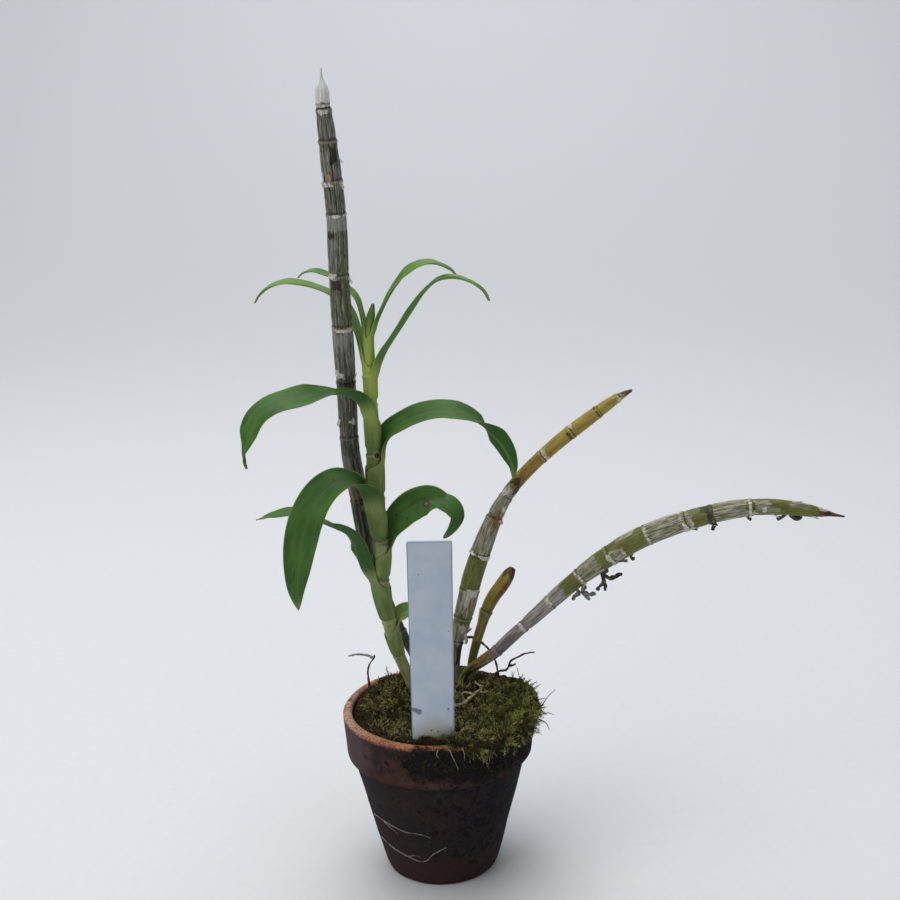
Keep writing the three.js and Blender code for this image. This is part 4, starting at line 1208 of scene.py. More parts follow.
def grow_cane(name, ridges, depth, seed):
    """A cane with this many ridges, this deep, and with its coats, rings and scars."""
    line = lines[name]

    def place(across, along):
        angle, distance = 2 * np.pi * across, along * line.length
        radius = girth(name, distance)
        size = np.maximum(radius, 0) / TYPICAL_RADIUS
        wander = crumple(rolled(angle, distance, 2, 16), 1.0, seed)
        ridge = soft_step(0.5 + 0.5 * np.cos(ridges * angle + 2 * wander), 0.04, 0.75)
        bumpy = crumple(rolled(angle, distance, 3, 2), 1.1, seed + 3)
        radius = radius - depth * size * (1 - ridge) * (0.7 + 0.3 * wander) + 0.05 * size * bumpy
        amounts = coat_amounts(COATS[name], distance, angle, seed)
        radius += sum(proud * amounts[kind] for kind, proud in PROUD.items())
        radius += 0.12 * depth * amounts["cap"]
        radius *= (along > 0) * (along < 1)
        eye = np.zeros_like(angle)
        for at, degrees, reach in EYES.get(name, []):
            away = np.hypot(distance - at, radius * (angle - math.radians(degrees)))
            eye = np.maximum(eye, 2 - away / reach)
        marks = {
            "skin": rolled(angle, distance, SKIN_RADIUS) * MM,
            "ridge": ridge,
            "ring": sum(bell(distance, ring, 0.5) for ring in ringed(name)),
            "cleft": sum(bell(distance, ring + 0.85, 0.38) for ring in ringed(name)),
            "eye": eye,
            "fresh": np.full_like(angle, name == "new_growth_stem"),
            **amounts,
        }
        return beside(line, distance, angle, radius), marks

    return grown(name + "_skin", 60, int(line.length / 0.42), place)


canes = {
    "old_cane_tall": grow_cane("old_cane_tall", 11, 0.42, 1),
    "new_growth_stem": grow_cane("new_growth_stem", 22, 0.03, 2),
    "right_cane_upper": grow_cane("right_cane_upper", 18, 0.07, 3),
    "stub_cane": grow_cane("stub_cane", 14, 0.05, 4),
    "arching_cane": grow_cane("arching_cane", 20, 0.08, 5),
}
print({name: len(piece.data.polygons) for name, piece in canes.items()})

# %% [markdown]
# The cane's finish lays the coats over the living skin. Its layers share four noises, and streaks
# are noise that is stretched along the cane. The living skin comes first: two greens in blotches,
# gold where it is ripe, and dark furrows between pale shoulders where it has shrivelled. The dark of
# the furrows, on the skin and on the paper over them, is painted shade.


# %% Paint the living skin
# Bands by height: the new growth's stem is lighter green near its top, green again at its tip and
# paler low down, so its middle stays darker.
STEM_GREEN, STEM_PALE, STEM_UPPER_GREEN, STEM_TIP = "#637a3b", "#a3ad6e", "#abbd5c", "#5f7f35"
STEM_BANDS = [(158, 176, STEM_UPPER_GREEN), (112, 96, STEM_PALE), (196, 205, STEM_TIP)]


class CaneFinish(Finish):
    """A finish with the noises and marks that all layers of a cane share."""

    def __init__(self, name):
        super().__init__(name, 0.32)
        along = self.place("skin", (1, 1, 0.07))
        self.streaks = self.grain(along, 0.62 * MM, 3, 0.6)
        self.hairlines = self.grain(along, 0.2 * MM, 2, 0.6)
        self.blotches = self.grain(self.place("skin", (1, 1, 0.45)), 2.6 * MM, 4, 0.6)
        self.speckle = self.grain(self.place("skin"), 0.45 * MM, 3, 0.7)
        self.height = self.coordinate(self.place(), "Z")
        self.fold = self.mark("ridge")


def living_skin(cane, look):
    """The skin under the coats."""
    blotches, fold, groove = cane.blotches, cane.fold, look["groove"]
    cane.paint = cane.mix(cane.step(blotches, 0.35, 0.68), look["skin"], look["shade"])
    for low, high, code in STEM_BANDS:
        band = cane.step(cane.height, low * MM, high * MM) * cane.mark("fresh")
        cane.wash(band, code)
    ripe = cane.mark("ripe")
    cane.wash(ripe * (0.55 + blotches * 0.5), look["ripe"])
    stained = cane.step(blotches + ripe * 0.14, 0.5, 0.74)
    cane.wash(stained * 0.55, look["rust"])
    cane.wash(cane.mark("mauve") * cane.step(blotches, 0.2, 0.55), "#756a6b")
    # Painted shade: the furrows between the ridges are darkened.
    cane.wash((1 - fold) * groove, "#1d1d14")
    shoulder = fold * (1 - fold) * 4 * cane.step(cane.hairlines, 0.4, 0.62)
    cane.wash(shoulder * groove * 0.62, look["paper_pale"])
    pale_lines = cane.step(cane.hairlines, 0.54, 0.7) * (0.05 + 0.16 * groove)
    cane.wash(pale_lines, look["paper_pale"])
    cane.wash(cane.step(cane.speckle, 0.64, 0.76) * 0.45, "#40331f")


print("bands of green on the new growth:", len(STEM_BANDS))

# %% [markdown]
# Paper is streaked from dark gaps to near white, so one sees the green through its tears. Over it
# lie the thin veil, the lilac and rosy skin of the arching cane, and rust.


# %% Lay the dry sheath over the skin
def dry_sheath(cane, look):
    """Lays the torn paper over the skin, and gives where it lies and its fibres."""
    blotches, streaks = cane.blotches, cane.streaks
    torn = cane.step(cane.mark("paper") + streaks * 0.8, 0.95, 1.3)
    fibres = cane.step(streaks * 0.5 + cane.hairlines * 0.5, 0.4, 0.6)
    dry = cane.mix(fibres, look["paper_dark"], look["paper_pale"])
    dry = cane.mix(cane.step(blotches, 0.5, 0.8) * 0.5, dry, look["paper_dark"])
    # Painted shade: the paper is darker over the furrows.
    dry = cane.mix((1 - cane.fold) * look["groove"] * 0.7, dry, "#3a382c")
    worn_through = cane.step(blotches, 0.55, 0.75) * 0.4
    cane.wash(torn * look["cover"] * (1 - worn_through), dry)
    cane.wash(cane.mark("veil") * (0.45 + 0.35 * fibres), "#a3a198")
    lilac = cane.mark("mauve") * cane.step(streaks, 0.38, 0.58)
    cane.wash(lilac * (0.45 + cane.mark("paper") * 0.4), "#b3abaf")
    rosy = cane.mark("rosy") * cane.step(blotches, 0.32, 0.6)
    cane.wash(rosy * 0.75, "#7d6672")
    rusty = cane.mark("rust") * cane.step(cane.speckle, 0.3, 0.5)
    cane.wash(rusty, "#5b3629")
    return torn, fibres


print("layers of dry sheath: paper, veil, lilac, rosy, rust")

# %% [markdown]
# Then come the rings and clefts of the joints, the darker foot, tan stains and black scars. Fresh
# tears and the cap are the brightest layer, and the tears are partly painted highlight. An eye is a
# round scar of three colours.


# %% Mark the joints and scars
EYE_RINGS = [(0.2, 0.6, 0.5, "#a9a66a"), (0.7, 0.95, 0.95, "#4a2a1c"), (1.3, 1.6, 0.9, "#140e0c")]


def joints_and_scars(cane, look):
    """Lays the rings, clefts, stains and scars over the paint."""
    blotches, speckle = cane.blotches, cane.speckle
    ring = cane.step(cane.mark("ring") + speckle * 0.35, 0.75, 1.0)
    cane.wash(ring * 0.45, "#a79d80")
    cleft = cane.step(cane.mark("cleft") + blotches * 0.6, 0.75, 1.1)
    cane.wash(cleft * look["clefts"], "#33291b")
    low_down = 1 - cane.step(cane.height + blotches * (30 * MM), 165 * MM, 220 * MM)
    cane.wash(low_down * look["foot"], "#2b2617")
    patchy = cane.step(blotches + speckle * 0.5, 0.66, 0.86)
    cane.wash(cane.mark("tan") * (patchy * 0.55 + 0.25), look["rust"])
    scar = cane.step(cane.mark("dark") + blotches * 0.7, 0.9, 1.3)
    cane.wash(scar * 0.85, "#211b10")


def fresh_tears(cane, look):
    """Lays the brightest flakes and the cap over the paint, and gives where they lie."""
    cap = cane.mark("cap")
    # Part torn sheath, part painted highlight: the white flakes are laid on near white.
    bare = cane.step(cane.mark("white") + cane.streaks * 0.9, 1.0, 1.2)
    bare = cane.maths("MAXIMUM", bare, cap)
    threads = cane.step(cane.hairlines + cap * 0.14, 0.4, 0.6)
    bright = cane.mix(threads, "#aca595", look["tear"])
    weathered = cap * cane.step(cane.blotches, 0.42, 0.62)
    bright = cane.mix(weathered * 0.3, bright, "#8b8069")
    cane.wash(bare * 0.9, bright)
    return bare


def eyes(cane):
    """Lays the round scars over the paint."""
    eye = cane.mark("eye") - cane.speckle * 0.2
    for low, high, share, code in EYE_RINGS:
        cane.wash(cane.step(eye, low, high) * share, code)


print("rings in an eye:", len(EYE_RINGS))

# %% [markdown]
# Skin is waxy and shines a little, and paper is dull. Three canes share the olive look.


# %% Finish the canes
def cane_finish(name, **look):
    """A cane's whole finish, laid on from the skin outwards."""
    cane = CaneFinish(name)
    living_skin(cane, look)
    torn, fibres = dry_sheath(cane, look)
    joints_and_scars(cane, look)
    bare = fresh_tears(cane, look)
    eyes(cane)
    dull = 0.36 + torn * 0.3 + bare * 0.2 + cane.speckle * 0.12
    relief = torn * fibres * 0.8 + cane.hairlines * 0.3 + cane.speckle * 0.25 + bare * 0.3
    return cane.finish(dull, relief, 0.22 * MM)


grey_cane = cane_finish(
    "old_grey_cane", skin="#5f6439", shade="#374327", ripe="#a08870", rust="#b3947c",
    paper_dark="#5e5c52", paper_pale="#c4c2b8", tear="#fbfaf4",
    groove=0.9, cover=0.8, clefts=0.7, foot=0.32,
)
green_stem = cane_finish(
    "fresh_green_stem", skin=STEM_GREEN, shade="#52692f", ripe=STEM_PALE, rust="#74744a",
    paper_dark="#7c8158", paper_pale="#b4b58c", tear="#dfd9c9",
    groove=0.1, cover=0.6, clefts=0.15, foot=0,
)
olive_cane = cane_finish(
    "olive_cane", skin="#68700f", shade="#4d590c", ripe="#b8a636", rust="#83581f",
    paper_dark="#6a6638", paper_pale="#d3cebc", tear="#dfd9c9",
    groove=0.2, cover=0.8, clefts=0.75, foot=0,
)
LOOKS = {
    "old_cane_tall": (grey_cane, "grey_cane"),
    "new_growth_stem": (green_stem, "green_stem"),
    "right_cane_upper": (olive_cane, "olive_cane"),
    "stub_cane": (olive_cane, "olive_cane"),
    "arching_cane": (olive_cane, "olive_cane"),
}
for name, piece in canes.items():
    finished(piece, *LOOKS[name], name)

# %% [markdown]
# ## Torn sheath
# Where the paper has come loose it stands off the cane as small curled flakes, and these are what
# make the outline of an old cane untidy. Each flake is a patch of grid that lies along the skin at
# one end and lifts at the other, with a ragged outline. A Solidify modifier makes it thick enough
# to be a real sheet. Listed are the distance along the cane, the angle, the length, the width in
# degrees and the lift of the free end.

# %% Where the flakes are
FLAKES = {
    "old_cane_tall": [
        [200.4, 156, -4.4, 26, 0.35], [195.8, 122, 1.5, 70, 0.5], [204.6, 12, -1.6, 30, 0.9],
        [197, 30, -2.2, 40, 0.5], [166.3, 128, -1.8, 60, 0.5], [164.6, 10, -2.0, 40, 0.9],
        [146.9, 80, -0.9, 120, 0.25], [130.6, 124, -1.6, 66, 0.5], [127, 20, 2.4, 44, 0.5],
        [112.4, 160, -2.2, 50, 0.6], [82, 24, -2.4, 50, 0.5], [221.8, 90, -0.8, 160, 0.2],
    ],
    "right_cane_upper": [
        [26, 20, -4.0, 70, 1.6], [23.6, 340, 3.4, 46, 1.4], [43.6, 70, -1.8, 60, 0.5],
        [58.6, 60, -1.4, 80, 0.4], [58.9, 150, -1.0, 60, 0.4], [85, 130, -2.8, 46, 0.6],
        [79, 60, -1.8, 40, 0.5], [103.2, 90, -0.8, 110, 0.3], [73.4, 30, -1.2, 60, 0.5],
    ],
    "arching_cane": [
        [40.4, 120, 1.2, 60, 0.4], [54.6, 110, 1.6, 70, 0.5], [70.4, 80, 1.0, 110, 0.35],
        [70.8, 10, -2.8, 60, 1.1], [84.2, 70, 1.2, 100, 0.4], [85.0, 5, 3.0, 60, 1.3],
        [99.7, 100, 0.8, 120, 0.25], [113.0, 60, 1.6, 80, 0.6], [114.5, 350, 2.2, 60, 0.8],
        [135.6, 90, 0.9, 120, 0.3], [141.4, 80, -1.4, 50, 0.4], [143.4, 5, 2.4, 70, 1.0],
        [156.5, 10, 2.4, 90, 0.7], [149.6, 180, 3.0, 60, 0.35], [121.4, 0, 2.4, 40, 1.3],
    ],
}
print("flakes:", sum(len(flakes) for flakes in FLAKES.values()))

# %% [markdown]
# The flakes' finish is the same dry paper for all canes, with fibres that run lengthwise.

# %% Finish the dry sheath
dry_paper = Finish("dry_sheath", 0.3)
fibres = dry_paper.grain(dry_paper.place("skin", (1, 1, 0.1)), 0.3 * MM, 3, 0.6)
stains = dry_paper.grain(dry_paper.place("skin"), 1.4 * MM)
dry_paper.paint = dry_paper.mix(dry_paper.step(fibres, 0.35, 0.65), "#9a9283", "#f0ede3")
dry_paper.wash(dry_paper.step(stains, 0.5, 0.72) * 0.6, "#6e5f50")
sheath_finish = dry_paper.finish(0.75, fibres, 0.12 * MM)

# %% [markdown]
# A flake is a ragged sheet that lifts off the cane.

# %% Tear the flakes
SHEATH_THICKNESS = 0.14 * MM


def grow_flake(cane_name, index, distance, degrees, length, width, lift):
    """One torn flake. A negative length makes it point down the cane."""
    line = lines[cane_name]

    def place(across, along):
        edge = np.stack([6 * across, 3 * along, 0 * along + index], -1)
        ragged = crumple(edge, 0.8, index)
        reach = along * (1 + 0.35 * ragged)
        shrink = 1 - 0.35 * along + 0.25 * ragged * along
        angle = np.radians(degrees + width * (across - 0.5) * shrink)
        where = distance + length * reach
        proud = 0.08 + lift * along**1.8 + 0.18 * ragged * along
        radius = girth(cane_name, where) + proud
        skin = rolled(angle, where, SKIN_RADIUS)
        return beside(line, where, angle, radius), {"skin": skin * MM}

    return grown(f"flake_{cane_name}_{index}", 16, 10, place)


def solidified(piece, thickness):
    """Gives a thin sheet its thickness."""
    modifier = piece.modifiers.new("sheet", "SOLIDIFY")
    modifier.thickness = thickness
    modifier.offset = 0
    apply_for_good(piece, modifier)
    return piece


for cane_name, flakes in FLAKES.items():
    torn = [grow_flake(cane_name, i, *values) for i, values in enumerate(flakes)]
    piece = solidified(join(cane_name + "_flakes", torn), SHEATH_THICKNESS)
    finished(piece, sheath_finish, LOOKS[cane_name][1])

# %% [markdown]
# Under the arching cane are the stubs of last year's flower stalks: dark, forked and brittle. They
# are strands with strong knots. Their foot starts inside the cane, so nothing hangs in the air. The
# first three make the one pale stub. One function finishes all dead skin, of stalks and of roots.

# %% Grow the flower stalk stubs
STALKS = [
    [[49.5, -1, 106.2], [51.2, -1.6, 104.4], [51, -2, 104], [48.8, -2, 101.4]],
    [[53.4, -1.8, 109.5], [53.1, -2, 107], [53, -2.3, 104.3], [55.2, -2.5, 101.4]],
    [[53, -2.3, 104.3], [54.6, -2.6, 103.6], [57.4, -2.8, 103.9]],
    [[61.8, -5, 116.4], [59.6, -5, 111.2], [60.2, -4.6, 108], [60.7, -4.5, 105.4]],
    [[59.6, -5, 111.2], [62.7, -5, 110.4], [64.5, -5, 111.4], [66.4, -5.2, 112.2]],
    [[60.1, -4.6, 108.4], [58.2, -4.4, 107], [57.3, -4.3, 105.6]],
    [[97.3, -15, 135.5], [96.3, -15, 132.6], [95.9, -15, 130.1]],
    [[69.5, -6.4, 120.6], [69.2, -6.6, 118.4], [70.4, -6.8, 117.6]],
    [[107, -16.6, 136.8], [107.6, -16.8, 134.8], [108.6, -16.9, 134.4]],
    [[119.8, -18.4, 137], [118.6, -18.6, 135.6], [116.4, -18.8, 135.2]],
    [[121, -18.6, 136.6], [123, -18.9, 135.3], [125.2, -19.2, 135.4]],
]


def dry_skin(name, dark, light):
    """The dead skin of a stalk or a root, flecked along its length."""
    dry = Finish(name, 0.3)
    flecks = dry.grain(dry.place("skin", (1, 1, 0.35)), 0.8 * MM, 4, 0.6)
    dry.paint = dry.mix(dry.step(flecks, 0.38, 0.7), dark, light)
    return dry.finish(0.8, flecks, 0.22 * MM)


stalks = strands("stalk", STALKS, [0.95], 10, 0.55, 1.1, 0.3)
pale_stub, dark_stubs = join("pale_stalk_stub", stalks[:3]), join("flower_stalk_stubs", stalks[3:])
finished(pale_stub, dry_skin("grey_stalk", "#4c4744", "#a9a49b"), "olive_cane")
finished(dark_stubs, dry_skin("dead_stalk", "#211a18", "#6d6259"), "olive_cane")

# %% [markdown]
# ## Leaves
# A dendrobium leaf is a leathery strap. Its foot wraps the stem, and past the foot the blade opens
# into a shallow trough, arches over under its own weight and often turns its face as it hangs.
# Each leaf is one closed grid that runs across the upper face and back across the lower one, so it
# has a true thickness and a rounded margin. Its rib is a list of places, and the rolls, spaced
# evenly along the rib, turn the upper face towards the front. A leaf also has the stem's radius at
# its foot, half the angle of its clasp, its greatest width and the length of its sheath.

# %% The leaves' ribs
LEAVES = {
    "leaf_upper_left": {
        "stem": 1.8, "clasp": 1.25, "width": 7.5, "sheath": 12.5, "roll": [0, 0, 0, 10, 10],
        "rib": [
            [-23.6, 6.8, 188], [-24.3, 7.8, 192.5], [-25.7, 10.8, 198.7], [-27.8, 14, 204.2],
            [-31.6, 15.8, 209], [-37, 16.6, 212.2], [-43.5, 16.9, 214.4], [-49.6, 17.4, 215.2],
            [-53.8, 17.6, 214.6], [-57.4, 17.5, 213], [-59.7, 17.5, 210.8], [-61.3, 17, 208.2],
        ],
    },
    "leaf_top_left": {
        "stem": 1.3, "clasp": 1.1, "width": 5.2, "sheath": 11, "roll": [0, 0, 0, 10, 10],
        "rib": [
            [-22.9, 7.4, 197.5], [-23.2, 8.3, 203], [-24.7, 10.2, 209], [-27.5, 12.3, 212.8],
            [-31, 13, 215.8], [-35.5, 13, 218.2], [-40.3, 12, 219.6], [-43.1, 11.5, 218.9],
            [-45, 11, 217.3],
        ],
    },
    "leaf_top_right": {
        "stem": 1.2, "clasp": 1.1, "width": 6.4, "sheath": 12, "roll": [0, 6, 20, 15, 10],
        "rib": [
            [-18.8, 6.8, 198], [-17.8, 6.8, 201.5], [-16.3, 6.8, 205.3], [-14.1, 7, 209.8],
            [-10.9, 7, 214.6], [-7, 7, 218.8], [-2.4, 6.4, 221.3], [1.8, 6, 221.9],
            [5.9, 5.6, 220.8], [8.7, 5.5, 218.9], [10.2, 5, 216.9],
        ],
    },
    "leaf_upper_right": {
        "stem": 1.9, "clasp": 1.3, "width": 7, "sheath": 8.6, "roll": [0, -5, -5, 5, 5],
        "rib": [
            [-18, 5, 183.5], [-16.9, 5, 187.5], [-14.9, 5, 192], [-12.2, 5, 196.4],
            [-8.8, 4.7, 201.4], [-5, 4.3, 207], [-1.2, 3.4, 212.4], [2.6, 2.2, 215.9],
            [7, 1, 217.2], [11.4, -0.5, 217], [15.3, -2, 215.7], [18.9, -3, 212.9],
            [20.8, -4, 209.5],
        ],
    },
    "leaf_middle_left": {
        "stem": 2.6, "clasp": 1.7, "width": 12, "sheath": 12.3, "roll": [0, -8, 24, 26, 30, -25],
        "rib": [
            [-23.9, 3.7, 169.5], [-24.7, 3.2, 173], [-27.3, 1.2, 176.7], [-31.3, -1, 178.4],
            [-36.3, -3, 178.8], [-41.3, -5, 178.5], [-47.7, -7, 177.4], [-54, -9, 175.7],
            [-58, -10.2, 172.9], [-60.6, -11, 169], [-62.6, -11.5, 164], [-63.8, -11.5, 159.7],
            [-63, -11.5, 155],
        ],
    },
    "leaf_middle_right": {
        "stem": 3.1, "clasp": 1.3, "width": 11.5, "sheath": 12.6,
        "roll": [40, 38, 35, 31, 24, 0, -58, -72, -66],
        "rib": [
            [-17, 7, 153.5], [-16.8, 7, 157], [-16, 6.9, 160], [-14.3, 6.8, 162.6],
            [-11.2, 6.4, 165.2], [-6.8, 5.6, 167.8], [-2.1, 4.8, 169.5], [2.6, 3.8, 170.4],
            [7.8, 2.6, 170.3], [12.9, 1.4, 168.9], [17.5, 0.3, 166.4], [21, -0.3, 163.3],
            [24.3, -0.8, 159.4], [26.9, -1.2, 155], [28.3, -1.5, 150.8], [28.1, -2, 146],
        ],
    },
    "leaf_lower_left": {
        "stem": 3.5, "clasp": 1.9, "width": 12.8, "sheath": 11, "roll": [0, 12, 36, 58, 62, 62],
        "rib": [
            [-24.1, 2.7, 135.5], [-24.9, 2.1, 140.5], [-27.2, 0.4, 145], [-31, -1.8, 147.5],
            [-35.7, -4.7, 146.2], [-40.4, -7, 141.8], [-43.9, -9, 135.5], [-46.4, -10, 127],
            [-47.9, -10, 117.9], [-48.7, -9.5, 110.4], [-48.4, -9, 102.4],
        ],
    },
    "leaf_lower_right": {
        "stem": 3.3, "clasp": 1.2, "width": 12.2, "sheath": 11.6,
        "roll": [45, 58, 66, 68, 52, 14, 30, 42, 42],
        "rib": [
            [-15.8, 7.7, 121], [-15.3, 7.7, 124], [-14.3, 7.7, 127.5], [-12.6, 7.7, 130.4],
            [-10.3, 7.8, 132.9], [-7.6, 8, 134.9], [-4.4, 8, 136.3], [-0.7, 7.6, 136.8],
            [3.1, 6.6, 136.1], [6.4, 5.4, 134.2], [7.9, 4.2, 131.4], [6.7, 3, 128.1],
            [3.3, 2, 124.5],
        ],
    },
    "leaf_back_left": {
        "stem": 3.4, "clasp": 1.6, "width": 9.2, "sheath": 16, "roll": [0, -55, -35, 0, 15, 15],
        "rib": [
            [-24.3, 6.4, 108.2], [-26.3, 5.6, 112], [-27.6, 4.9, 117], [-28.4, 4.9, 122],
            [-31, 6, 125.6], [-36, 8, 127.8], [-43.5, 10, 130.3], [-52.3, 12, 132.2],
            [-59.1, 13.5, 131.2], [-65.2, 14.5, 129.2],
        ],
    },
    "leaf_low_right": {
        "stem": 2.7, "clasp": 1.1, "width": 6.6, "sheath": 12.5, "roll": [30, 45, 45, 35, 30],
        "rib": [
            [-14.2, 9, 90.5], [-13.4, 9, 93], [-11.6, 9.1, 94.6], [-8.9, 9.1, 94.8],
            [-5.8, 9, 93.4], [-3.4, 9, 91.2],
        ],
    },
}
# Blemishes on the blades: share of the length, share of the half width, radius in millimetres, and
# whether it is an eye with a pale middle.
BLEMISHES = {
    "leaf_lower_left": [[0.27, 0.25, 0.5, 0], [0.33, -0.35, 0.45, 0], [0.6, 0.5, 0.3, 0]],
    "leaf_lower_right": [[0.5, 0.2, 1.35, 1], [0.28, 0.45, 0.5, 0], [0.24, -0.3, 0.5, 0],
                         [0.4, 0.6, 0.4, 0]],
    "leaf_middle_right": [[0.35, 0.3, 0.3, 0]],
}
print("leaves:", len(LEAVES))

# %% [markdown]
# Some numbers hold for all the leaves: how open the trough is, where the blade is widest and how
# strongly its margins wave. The two functions after them give half the angle of the cross-section,
# which closes round the stem at the foot, and the width along the blade.

# %% The leaves' common form
GAP = 0.35  # room between a leaf's foot and its stem in the plain solids
RIB_THICKNESS = 0.85
TROUGH, TROUGH_END, CLASP_END = 0.5, 0.28, 0.24
WIDEST = 0.48
WAVE, WAVES = 0.35, 2.5


def trough_angle(share, clasp):
    """Half the angle of the cross-section at a share of the blade's length."""
    return blend(clasp, blend(TROUGH, TROUGH_END, share), soft_step(share, 0.02, CLASP_END))


def blade_width(share, foot, width):
    """The width at a share of the blade's length."""
    past = np.maximum(0, (share - WIDEST) / (1 - WIDEST))
    spread = blend(foot, width, soft_step(share, 0, WIDEST))
    return np.maximum(0.08, spread * (1 - past**2) ** 0.8)


print("width half way along a 12 mm leaf:", blade_width(np.array([0.5]), 8, 12).round(2))

# %% [markdown]
# A blemish is stored as a distance: each point of the mesh says how near it is to the closest one.


# %% Where the blemishes are
def closeness(name, v, along, wide, length, wanted):
    """2 at the middle of a blemish, 1 at its edge and 0 further out."""
    most = np.zeros_like(v)
    for share, side, radius, is_eye in BLEMISHES.get(name, []):
        away = np.hypot((v - side) * wide / 2, (along - share) * length) / radius
        if is_eye == wanted:
            most = np.maximum(most, 2 - away)
    return most


print("blemishes:", sum(len(spots) for spots in BLEMISHES.values()))

# %% [markdown]
# Below the blade the leaf goes on as a sheath that wraps the stem down to the joint below. Only the
# sheath makes a leaf look grown rather than stuck on. It has its own section, centred on the
# stem: almost a full turn low down, opening to the foot's clasp at the top. The blade's points and
# the sheath's points are both worked out, and blended over a few millimetres round the foot.


# %% Grow a leaf
SOFTNESS = 0.35
CREASE_DEPTH, CREASE_WIDTH = 0.22, 0.55
KEEL_HEIGHT, KEEL_WIDTH = 0.26, 0.7
THICK_AT_RIB, THICK_AT_MARGIN = 0.36, 0.16


def grow_leaf(name, stem, clasp, width, sheath, roll, rib):
    """A leaf on the new growth: its sheath round the stem and its blade along the rib."""
    line, grown_on = SmoothLine(rib), lines["new_growth_stem"]
    to_foot = np.linalg.norm(grown_on.points - np.array(rib[0]), axis=1)
    foot = grown_on.distances[np.argmin(to_foot)]
    heading = np.array(rib[int(len(rib) * 0.7)]) - np.array(rib[0])
    sideways = unit(np.array([heading[1], -heading[0], 0]))
    hold = stem + GAP + RIB_THICKNESS / 2
    seed = len(name)

    def blade_section(v, distance):
        """The blade's middle layer, its inward direction and the distance from the rib."""
        share = np.clip(distance / line.length, 0, 1)
        forward = line.heading(np.maximum(distance, 0))
        side = unit(sideways - forward * (forward @ sideways)[:, None])
        rolls = np.interp(share, np.linspace(0, 1, len(roll)), roll)
        turn = np.sign(heading[0]) * np.radians(rolls)
        turned = np.cross(forward, side)
        side = side * np.cos(turn)[:, None] + turned * np.sin(turn)[:, None]
        face = np.cross(side, forward)
        half = trough_angle(share, clasp)
        bend = blade_width(share, 2 * clasp * hold, width) / (2 * half)
        snug = (GAP - 0.1) * (1 - soft_step(share, 0.05, 0.3))
        wavy = WAVE * v * v * np.sin(2 * np.pi * WAVES * share + 2 * v)
        soft = SOFTNESS * crumple(np.stack([2 * v, 9 * share, 0 * v], -1), 1.0, seed) * np.abs(v)
        lift = bend * (1 - np.cos(v * half)) + (wavy + soft) * soft_step(share, 0.2, 0.5) + snug
        middle = line.at(np.maximum(distance, 0)) + forward * np.minimum(distance, 0)[:, None]
        middle = middle + side * (bend * np.sin(v * half))[:, None] + face * lift[:, None]
        inwards = face * np.cos(v * half)[:, None] - side * np.sin(v * half)[:, None]
        return middle, inwards, v * bend * half

    def sheath_section(v, distance):
        """The same three for the sheath."""
        on = np.minimum(foot + distance, grown_on.length - 1)
        forward = grown_on.heading(on)
        out = np.array(rib[0]) - grown_on.at(foot)
        out = unit(out - forward * (forward @ out)[:, None])
        side = np.cross(out, forward)
        half = blend(0.985 * np.pi, clasp, soft_step(distance, -4.5, 0.5))
        hug = blend(-0.25, 0.12, soft_step(distance, -sheath, 1.5 - sheath))
        radius = girth("new_growth_stem", on) + hug + 0.34 * soft_step(distance, -sheath, 0)
        outwards = out * np.cos(v * half)[:, None] + side * np.sin(v * half)[:, None]
        return grown_on.at(on) + outwards * radius[:, None], -outwards, v * radius * half

    def place(across, along):
        upper = across < 0.5
        v = np.where(upper, 4 * across - 1, 3 - 4 * across)
        distance = blend(-sheath, line.length, along)
        share = np.clip(distance / line.length, 0, 1)
        free = soft_step(distance, -3, 1.5)
        low, high = sheath_section(v, distance), blade_section(v, distance)
        middle, inwards = (blend(a, b, free[:, None]) for a, b in zip(low[:2], high[:2]))
        from_rib = blend(low[2], high[2], free)
        wide = blade_width(share, 2 * clasp * hold, width)
        slim = np.minimum(1, wide / 3)
        past_foot = soft_step(share, 0.1, 0.3)
        crease = CREASE_DEPTH * bell(from_rib, 0, CREASE_WIDTH) * slim * past_foot
        keel = KEEL_HEIGHT * bell(from_rib, 0, KEEL_WIDTH) * slim * free
        thick = blend(THICK_AT_RIB, THICK_AT_MARGIN, np.abs(v)) * slim
        thick = thick * np.sqrt(np.clip(1 - v**8, 0, 1))
        thick = np.where(upper, thick - crease, -thick - keel) * (along > 0) * (along < 1)
        flat = np.stack([from_rib, 0 * v, distance], -1)
        marks = {
            "blade": flat * MM,
            "upper": upper.astype(float),
            "margin": np.abs(v) * free,
            "length": share,
            "sheath": 1 - soft_step(distance, -1, 7),
            "spot": closeness(name, v, share, wide, line.length, 0),
            "eye": closeness(name, v, share, wide, line.length, 1),
        }
        return middle + unit(inwards) * thick[:, None], marks

    return grown(name + "_blade", 56, int((line.length + sheath) / 0.5), place)


leaves = {name: grow_leaf(name, **form) for name, form in LEAVES.items()}
print({name: len(piece.data.polygons) for name, piece in leaves.items()})
